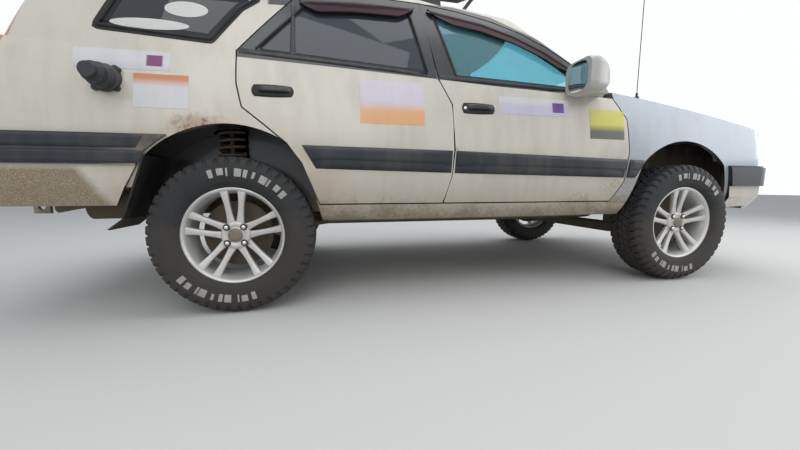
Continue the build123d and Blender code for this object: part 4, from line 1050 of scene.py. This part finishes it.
class RALLY_OT_windows(bpy.types.Operator):
    """Window seals, dark borders, smoked visors, belt strips and the bars in the rear doors' windows"""

    bl_idname = "rally.windows"
    bl_label = "Window trim"

    def execute(self, context):
        width = context.scene.rally_car.visor_width
        for label, side in SIDES:
            front = [f"door_front_{label}", f"glass_front_{label}"]
            rear = [f"door_rear_{label}", f"glass_rear_{label}"]
            quarter = [f"body_side_{label}", "fixed_windows"]
            seal(f"seal_front_{label}", front, FRONT_WINDOW, side, front[0])
            seal(f"seal_rear_{label}", rear, REAR_WINDOW, side, rear[0])
            seal(f"seal_quarter_{label}", quarter, QUARTER_WINDOW, side, SHELL, 0.008)
            band(f"gasket_quarter_{label}", [f"body_side_{label}"], QUARTER_WINDOW, -0.020, side, SHELL)
            band(f"border_quarter_{label}", ["fixed_windows"], QUARTER_WINDOW, 0.026, side, SHELL)
            band(f"border_front_{label}", [front[1]], FRONT_WINDOW, 0.012, side, front[0])
            band(f"border_rear_{label}", [rear[1]], REAR_WINDOW, 0.014, side, rear[0])
            visor(f"visor_front_{label}", front, [(-0.232, 1.436), *FRONT_WINDOW[1:5]], side, front[0], width)
            visor(f"visor_rear_{label}", rear, [(-0.85, 1.396), (-0.60, 1.424), (-0.300, 1.434)], side,
                  rear[0], width)
            bar = [(-0.885, 1.40), (-0.868, 1.40), (-0.868, 1.135), (-0.892, 1.135)]
            side_pad(f"window_bar_{label}", rear, bar, side, "dark_trim", rear[0], 0.006, (8, 20), 0, 6)
            belt = [(-1.100, 1.158), (-0.262, 1.110), (-0.262, 1.090), (-1.104, 1.134)]
            side_pad(f"belt_rear_{label}", rear, belt, side, "dark_trim", rear[0], 0.006, (40, 8))
            belt = [(-0.196, 1.102), (0.700, 1.092), (0.706, 1.072), (-0.196, 1.080)]
            side_pad(f"belt_front_{label}", front, belt, side, "dark_trim", front[0], 0.006, (40, 8))
            sail = [(0.560, 1.185), (0.596, 1.180), (0.690, 1.092), (0.560, 1.092)]
            side_pad(f"sail_{label}", front, sail, side, "paint_front", front[0], 0.004, (12, 12), 0.1)
        return {"FINISHED"}


# Handles: body and middle of the recess (x, z)
HANDLES = [("door_rear_{}", (-0.967, 0.972)), ("door_front_{}", (-0.012, 0.942))]


class RALLY_OT_handles(bpy.types.Operator):
    """Recessed black door handles with their levers"""

    bl_idname = "rally.handles"
    bl_label = "Door handles"

    def execute(self, context):
        for label, side in SIDES:
            for body, (x, z) in HANDLES:
                door = body.format(label)
                cup = [(x - .084, z + .029), (x + .090, z + .026), (x + .090, z - .026), (x - .084, z - .029)]
                side_pad(f"handle_cup_{door}", [door], cup, side, "black_rubber", door, 0.004, (32, 16), 0.45,
                         8)
                grip = [(x - .060, z + .022), (x + .080, z + .019), (x + .080, z - .006),
                        (x - .060, z - .008)]
                side_pad(f"handle_{door}", [door], grip, side, "rack_black", door, 0.017, (32, 12), 0.25, 6,
                         0.002)
            door = f"door_front_{label}"
            lock = rectangle(-0.088, -0.070, 0.933, 0.951)
            side_pad(f"lock_{door}", [door], lock, side, "chrome", door, 0.006, (10, 10), 1.0, 4, 0.002)
        return {"FINISHED"}


def cushion(name, centre, half, puff, lean, hollow=0.0):
    """A padded block: a superellipsoid of exponent 4, bulged by puff, leaned about Y and dished by hollow."""
    count_u, count_v = ((40, 56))
    u = np.linspace(-np.pi / 2, np.pi / 2, count_u)[:, None]
    v = np.linspace(-np.pi, np.pi, count_v, endpoint=False)[None]

    def power(value, exponent=0.42):
        return np.sign(value) * np.abs(value) ** exponent

    x = power(np.cos(u)) * power(np.cos(v))
    y = power(np.cos(u)) * power(np.sin(v))
    z = power(np.sin(u)) + 0 * v
    swell = puff * (1 - x ** 2) * (1 - y ** 2)
    ribs = 0.006 * np.cos(y * 9) * (1 - x ** 2)
    z = z * half[2] + np.sign(z) * (swell + ribs) - hollow * (1 - y ** 2) * (z > 0)
    x, y = x * half[0], y * half[1]
    points = np.stack([x * math.cos(lean) + z * math.sin(lean) + centre[0], y + centre[1],
                       z * math.cos(lean) - x * math.sin(lean) + centre[2]], -1)
    piece = grid_mesh(name, points, "seat_fabric", SHELL, close_v=True, uv=False)
    return piece


SEAT_Y = 0.36
# Pads of a front seat: name, x and height of the middle, half sizes, puff, lean and hollow
FRONT_PADS = [
    ("front_cushion", 0.14, 0.615, (0.255, 0.235, 0.075), 0.018, -0.08, 0.02),
    ("front_back", -0.195, 0.865, (0.275, 0.225, 0.060), 0.018, math.radians(-70), 0.02),
    ("front_head", -0.298, 1.215, (0.075, 0.125, 0.045), 0.008, math.radians(-78), 0.0),
]


class RALLY_OT_seats(bpy.types.Operator):
    """Padded front and rear seats"""

    bl_idname = "rally.seats"
    bl_label = "Seats"

    def execute(self, context):
        for label, side in SIDES:
            y = side * SEAT_Y
            for name, x, z, half, puff, lean, hollow in FRONT_PADS:
                cushion(f"{name}_{label}", (x, y, z), half, puff, lean, hollow)
            for post in (-0.05, 0.05):
                tube(f"head_post_{label}_{post}", [(-0.27, y + post, 1.08), (-0.293, y + post, 1.18)], 0.006,
                     "chrome")
            box_piece(f"seat_base_{label}", (-0.10, 0.36, y - 0.19, y + 0.19, 0.435, 0.56), "chassis", 0.01)
        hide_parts("front_seats")
        rear = cushion("rear_cushion", (-0.518, 0, 0.595), (0.228, 0.598, 0.080), 0.012, -0.05)
        cushion("rear_back", (-0.845, 0, 0.895), (0.245, 0.532, 0.062), 0.014, math.radians(-72))
        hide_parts("rear_seat")
        return {"FINISHED"}


def box_piece(name, limits, material, bevel=0.003, body=SHELL):
    """A plain block with rounded edges."""
    x0, x1, y0, y1, z0, z1 = limits
    corners = [(x, y, z) for x in (x0, x1) for y in (y0, y1) for z in (z0, z1)]
    faces = [(0, 1, 3, 2), (4, 6, 7, 5), (0, 4, 5, 1), (2, 3, 7, 6), (0, 2, 6, 4), (1, 5, 7, 3)]
    mesh = bpy.data.meshes.new(name)
    mesh.from_pydata(corners, [], faces)
    piece = add_piece(name, mesh, material, body)
    edge = piece.modifiers.new("edges", "BEVEL")
    edge.width, edge.segments = bevel, 2
    return piece


def disc(name, centre, half, bulge, material, body=SHELL, rings=10, turns=48):
    """A convex rounded plate facing rearwards; radius t bulges by (1 - t^2)."""
    t = np.linspace(1, 0, rings)[:, None]
    q = np.linspace(0, 2 * np.pi, turns, endpoint=False)[None]
    y = np.sign(np.cos(q)) * np.abs(np.cos(q)) ** 0.7 * t * half[0]
    z = np.sign(np.sin(q)) * np.abs(np.sin(q)) ** 0.7 * t * half[1]
    x = -bulge * (1 - t ** 2) + 0 * q
    points = np.stack([x + centre[0], y + centre[1], z + centre[2]], -1)
    return grid_mesh(name, points, material, body, close_v=True, uv=False)


DEFLECTOR_HALF, DEFLECTOR_STEPS = 0.66, 90
# Ends of the two wiper blades across the car
WIPER_ENDS = [(-0.52, 0.02), (0.06, 0.56)]
CLAMP_PLACES = (-0.209, -1.050)
# Ovals on the right quarter glass: name, middle (x, z) and half sizes
OVALS = [("round", -1.314, 1.316, 0.085, 0.036), ("long", -1.449, 1.236, 0.150, 0.024)]


class RALLY_OT_details(bpy.types.Operator):
    """Mirror glass, bonnet deflector, wipers, tailgate handle, fuel flap, rack clamps and pane stickers"""

    bl_idname = "rally.details"
    bl_label = "Details"

    def execute(self, context):
        for label, side in SIDES:
            door = f"door_front_{label}"
            low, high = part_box(f"mirror_{label}")
            outer = (low[1] + 0.090) if side < 0 else (high[1] - 0.090)
            disc(f"mirror_glass_{label}", (low[0] - 0.001, outer, 1.100), (0.066, 0.072), 0.004,
                 "mirror_silver", door)
        # Deflector along the bonnet's front edge x = 2.03 - 0.2 (|y| / 0.66)^6, rising 40 mm and leaning back
        y = np.linspace(-DEFLECTOR_HALF, DEFLECTOR_HALF, DEFLECTOR_STEPS)[:, None]
        t = np.linspace(0, 1, 7)[None]
        part = np.abs(y / DEFLECTOR_HALF)
        edge = 2.03 - 0.20 * part ** 6
        top = project(["bonnet"], edge - 0.02, y, 2, 1)
        z = top + 0.002 + 0.040 * t * (1 - 0.5 * part ** 8)
        shield = np.stack([edge - 0.012 * t, y + 0 * t, z], -1)
        grid_mesh("bonnet_deflector", shield, "rack_black", "bonnet", thickness=0.003)
        # Wipers lie 10 mm over the glass, each with its arm
        for index, (y0, y1) in enumerate(WIPER_ENDS):
            y = np.linspace(y0, y1, 24)
            x = np.full(24, 0.865) - 0.03 * np.linspace(0, 1, 24)
            z = project(["fixed_windows"], x, y, 2, 1) + 0.010
            tube(f"wiper_blade_{index}", np.stack([x, y, z], -1), 0.005, "black_rubber", turns=8)
            middle = np.array([x[12], y[12], z[12] + 0.008])
            foot = np.array([0.985, y0 + 0.06, surface_at(["bulkhead"], 2, 1, 0.985, y0 + 0.06)])
            tube(f"wiper_arm_{index}", along([foot, foot + (0, 0, 0.012), middle], 16), 0.006, "rack_black",
                 turns=8)
        y = np.linspace(-0.06, 0.36, 20)
        z = np.full(20, 1.130) + 0.05 * np.linspace(0, 1, 20)
        x = project(["tailgate_glass"], y, z, 0, -1) - 0.010
        tube("rear_wiper_blade", np.stack([x, y, z], -1), 0.005, "black_rubber", "tailgate", 8)
        arm_z = np.array([1.02, 1.10, 1.155])
        arm_y = np.array([0.0, 0.02, 0.15])
        arm_x = project(["tailgate", "tailgate_glass"], arm_y, arm_z, 0, -1) - 0.014
        tube("rear_wiper_arm", along(np.stack([arm_x, arm_y, arm_z], -1), 12), 0.006, "rack_black",
             "tailgate", 8)
        # Tailgate handle over the plate's place, and the fuel flap's seam on the left
        y = np.linspace(-0.24, 0.24, 24)
        z = np.full(24, 0.925)
        x = project(["tailgate"], y, z, 0, -1) - 0.006
        tube("tailgate_handle", np.stack([x, y, z], -1), 0.014, "dark_trim", "tailgate", 10, False, 1.6)
        flap = along([(-1.46, 1.00), (-1.32, 1.00), (-1.32, 0.87), (-1.46, 0.87)], 64, True)
        y = skin_y(["body_side_left"], flap[:, 0], flap[:, 1], 1)
        tube("fuel_flap_seam", np.stack([flap[:, 0], y, flap[:, 1]], -1)[::-1], 0.0016, "black_rubber",
             turns=6, closed=True)
        # Clamps where the rack's cross bars stand on the roof rails
        for x in CLAMP_PLACES:
            for label, side in SIDES:
                box_piece(f"rack_clamp_{label}_{x}",
                          (x - 0.034, x + 0.034, *sorted((side * 0.545, side * 0.60)), 1.560, 1.602),
                          "rack_black", 0.008)
        # Two ovals on the right rear quarter glass
        quarter = ["fixed_windows"]
        for name, cx, cz, a, b in OVALS:
            corners = rectangle(cx - a, cx + a, cz - b, cz + b)
            side_pad(f"sticker_{name}", quarter, corners, -1, "ivory", SHELL, 0.0003, (28, 14), 1.0, 20.0,
                     0.0010)
        return {"FINISHED"}


# Door cards, inside: panel corners, armrest corners (x, z) and speaker middle or None
DOOR_CARDS = {
    "front": ([(-0.10, 1.02), (0.74, 1.00), (0.74, 0.56), (-0.08, 0.56)],
              [(0.02, 0.83), (0.46, 0.83), (0.46, 0.775), (0.02, 0.775)], (0.62, 0.66)),
    "rear": ([(-0.92, 1.03), (-0.26, 1.02), (-0.24, 0.78), (-0.86, 0.86)],
             [(-0.72, 0.90), (-0.38, 0.90), (-0.38, 0.85), (-0.72, 0.85)], None),
}


# Dials as (y, z, half size), heights of the centre panel's slots and places of the pedals across the car
DIALS = [(-0.425, 0.925, 0.045), (-0.305, 0.925, 0.045), (-0.365, 0.895, 0.020)]
SLOT_HEIGHTS = (0.755, 0.815, 0.885)
PEDAL_PLACES = (-0.27, -0.36, -0.46)


class RALLY_OT_cabin(bpy.types.Operator):
    """Door cards, armrests, dials, levers, pedals and the inside mirror"""

    bl_idname = "rally.cabin"
    bl_label = "Cabin"

    def execute(self, context):
        for label, side in SIDES:
            for end, (card, rest, speaker) in DOOR_CARDS.items():
                door = f"door_{end}_{label}"
                side_pad(f"card_{door}", [door], card, -side, "seat_fabric", door, 0.008, (24, 16), 0.1, 10)
                arm = side_pad(f"armrest_{door}", [door], rest, -side, "cabin_plastic", door, 0.045, (24, 12),
                               0.2, 4)
                z0, x1 = rest[0][1], rest[1][0]
                catch = rectangle(x1 + 0.03, x1 + 0.13, z0 + 0.06, z0 + 0.10)
                side_pad(f"catch_{door}", [door], catch, -side, "chrome", door, 0.014, (16, 10), 0.6, 4)
                if speaker:
                    x, z = speaker
                    round_pad = rectangle(x - 0.075, x + 0.075, z - 0.075, z + 0.075)
                    side_pad(f"speaker_{door}", [door], round_pad, -side, "black_rubber", door, 0.014,
                             (20, 20), 1.0, 3)
        for index, (y, z, size) in enumerate(DIALS):
            x = surface_at(["dashboard"], 0, -1, y, 0.925) - 0.004
            disc(f"dial_{index}", (x, y, z), (size, size), 0.003, "black_rubber")
            disc(f"dial_rim_{index}", (x + 0.001, y, z), (size + .004,) * 2, 0.002, "chrome")
        x = surface_at(["dashboard"], 0, -1, 0.0, 0.86)
        box_piece("centre_panel", (x - 0.010, x + 0.05, -0.10, 0.10, 0.72, 0.92), "black_rubber", 0.006)
        for row, z in enumerate(SLOT_HEIGHTS):
            box_piece(f"centre_slot_{row}", (x - 0.014, x, -0.085, 0.085, z - 0.016, z + 0.016), "dark_trim",
                      0.004)
        lever = along([(0.42, 0.0, 0.555), (0.40, 0.0, 0.66), (0.37, 0.0, 0.74)], 16)
        tube("gear_lever", lever, 0.008, "chrome")
        knob = [(0, -.022), (.018, -.018), (.024, 0), (.018, .018), (0, .022)]
        upright_piece("gear_knob", knob, 24, (0.37, 0.0, 0.752), "black_rubber")
        brake = along([(0.16, 0.0, 0.565), (0.02, 0.0, 0.60), (-0.10, 0.0, 0.655)], 16)
        tube("handbrake", brake, 0.015, "cabin_plastic")
        for index, y in enumerate(PEDAL_PLACES):
            tube(f"pedal_arm_{index}", along([(0.955, y, 0.70), (0.86, y, 0.60), (0.80, y, 0.53)], 12), 0.007,
                 "chassis", turns=8)
            box_piece(f"pedal_{index}", (0.785, 0.800, y - 0.028, y + 0.028, 0.500, 0.560), "black_rubber",
                      0.004)
        box_piece("inside_mirror", (0.245, 0.262, -0.12, 0.12, 1.325, 1.385), "black_rubber", 0.006)
        disc("inside_mirror_glass", (0.2435, 0, 1.355), (0.112, 0.026), 0.001, "mirror_silver")
        top = surface_at(["fixed_windows", "roof"], 2, 1, 0.30, 0.0)
        tube("inside_mirror_stem", along([(0.262, 0, 1.36), (0.29, 0, 1.40), (0.30, 0, top - 0.012)], 12),
             0.006, "black_rubber", turns=8)
        return {"FINISHED"}


COVER_RIBS, PLUG_LEADS = 5, 4


class RALLY_OT_engine_bay(bpy.types.Operator):
    """Rocker cover, oil cap, air filter, intake hose, plug leads and coil pack on the engine"""

    bl_idname = "rally.engine_bay"
    bl_label = "Engine bay"

    def execute(self, context):
        deck = float(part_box("engine_and_gearbox")[1][2])
        box_piece("rocker_cover", (1.47, 1.80, -0.20, 0.02, deck, deck + 0.030), "alloy", 0.010)
        for rib in range(COVER_RIBS):
            x = 1.51 + rib * 0.06
            box_piece(f"cover_rib_{rib}", (x, x + 0.012, -0.185, 0.005, deck + 0.029, deck + 0.036), "alloy",
                      0.003)
        oil_cap = [(.030, 0), (.030, .016), (.024, .020), (0, .020)]
        upright_piece("oil_cap", oil_cap, 32, (1.755, -0.09, deck + 0.029), "black_rubber")
        box_piece("air_filter", (1.44, 1.66, 0.06, 0.19, deck, deck + 0.042), "cabin_plastic", 0.012)
        hose = along([(1.55, 0.13, deck + 0.03), (1.70, 0.14, deck + 0.035), (1.80, 0.12, deck + 0.02),
                      (1.84, 0.06, deck - 0.02)], 40)
        tube("intake_hose", hose, 0.022 + 0.002 * np.cos(np.linspace(0, 60, 40)), "black_rubber", turns=16)
        for lead in range(PLUG_LEADS):
            x = 1.52 + lead * 0.075
            path = along([(x, -0.20, deck + 0.015), (x + 0.01, -0.24, deck + 0.030),
                          (1.80, -0.29, deck + 0.012)], 24)
            tube(f"plug_lead_{lead}", path, 0.004, "black_rubber", turns=8)
        box_piece("coil_pack", (1.78, 1.83, -0.315, -0.265, deck, deck + 0.022), "black_rubber", 0.004)
        return {"FINISHED"}


CLASSES = [RallyCarSizes, RALLY_OT_materials, RALLY_OT_stage, RALLY_OT_mouldings, RALLY_OT_wheels,
           RALLY_OT_stickers, RALLY_OT_windows, RALLY_OT_handles, RALLY_OT_seats, RALLY_OT_details,
           RALLY_OT_cabin, RALLY_OT_engine_bay]
STEPS = [c for c in CLASSES if issubclass(c, bpy.types.Operator)]


class RALLY_PT_panel(bpy.types.Panel):
    """The car's steps in the sidebar"""

    bl_idname = "RALLY_PT_panel"
    bl_label = "Rally car"
    bl_space_type = "VIEW_3D"
    bl_region_type = "UI"
    bl_category = "Rally car"

    def draw(self, context):
        for step in STEPS:
            self.layout.operator(step.bl_idname)


def register():
    """Add the classes and the car's settings to Blender."""
    for item in CLASSES + [RALLY_PT_panel]:
        bpy.utils.register_class(item)
    bpy.types.Scene.rally_car = PointerProperty(type=RallyCarSizes)


def unregister():
    """Remove the classes and settings again."""
    del bpy.types.Scene.rally_car
    for item in reversed(CLASSES + [RALLY_PT_panel]):
        bpy.utils.unregister_class(item)


def main():
    """Dress the car step by step."""
    register()
    for step in STEPS:
        group, action = step.bl_idname.split(".")
        getattr(getattr(bpy.ops, group), action)()


if __name__ == "__main__":
    main()
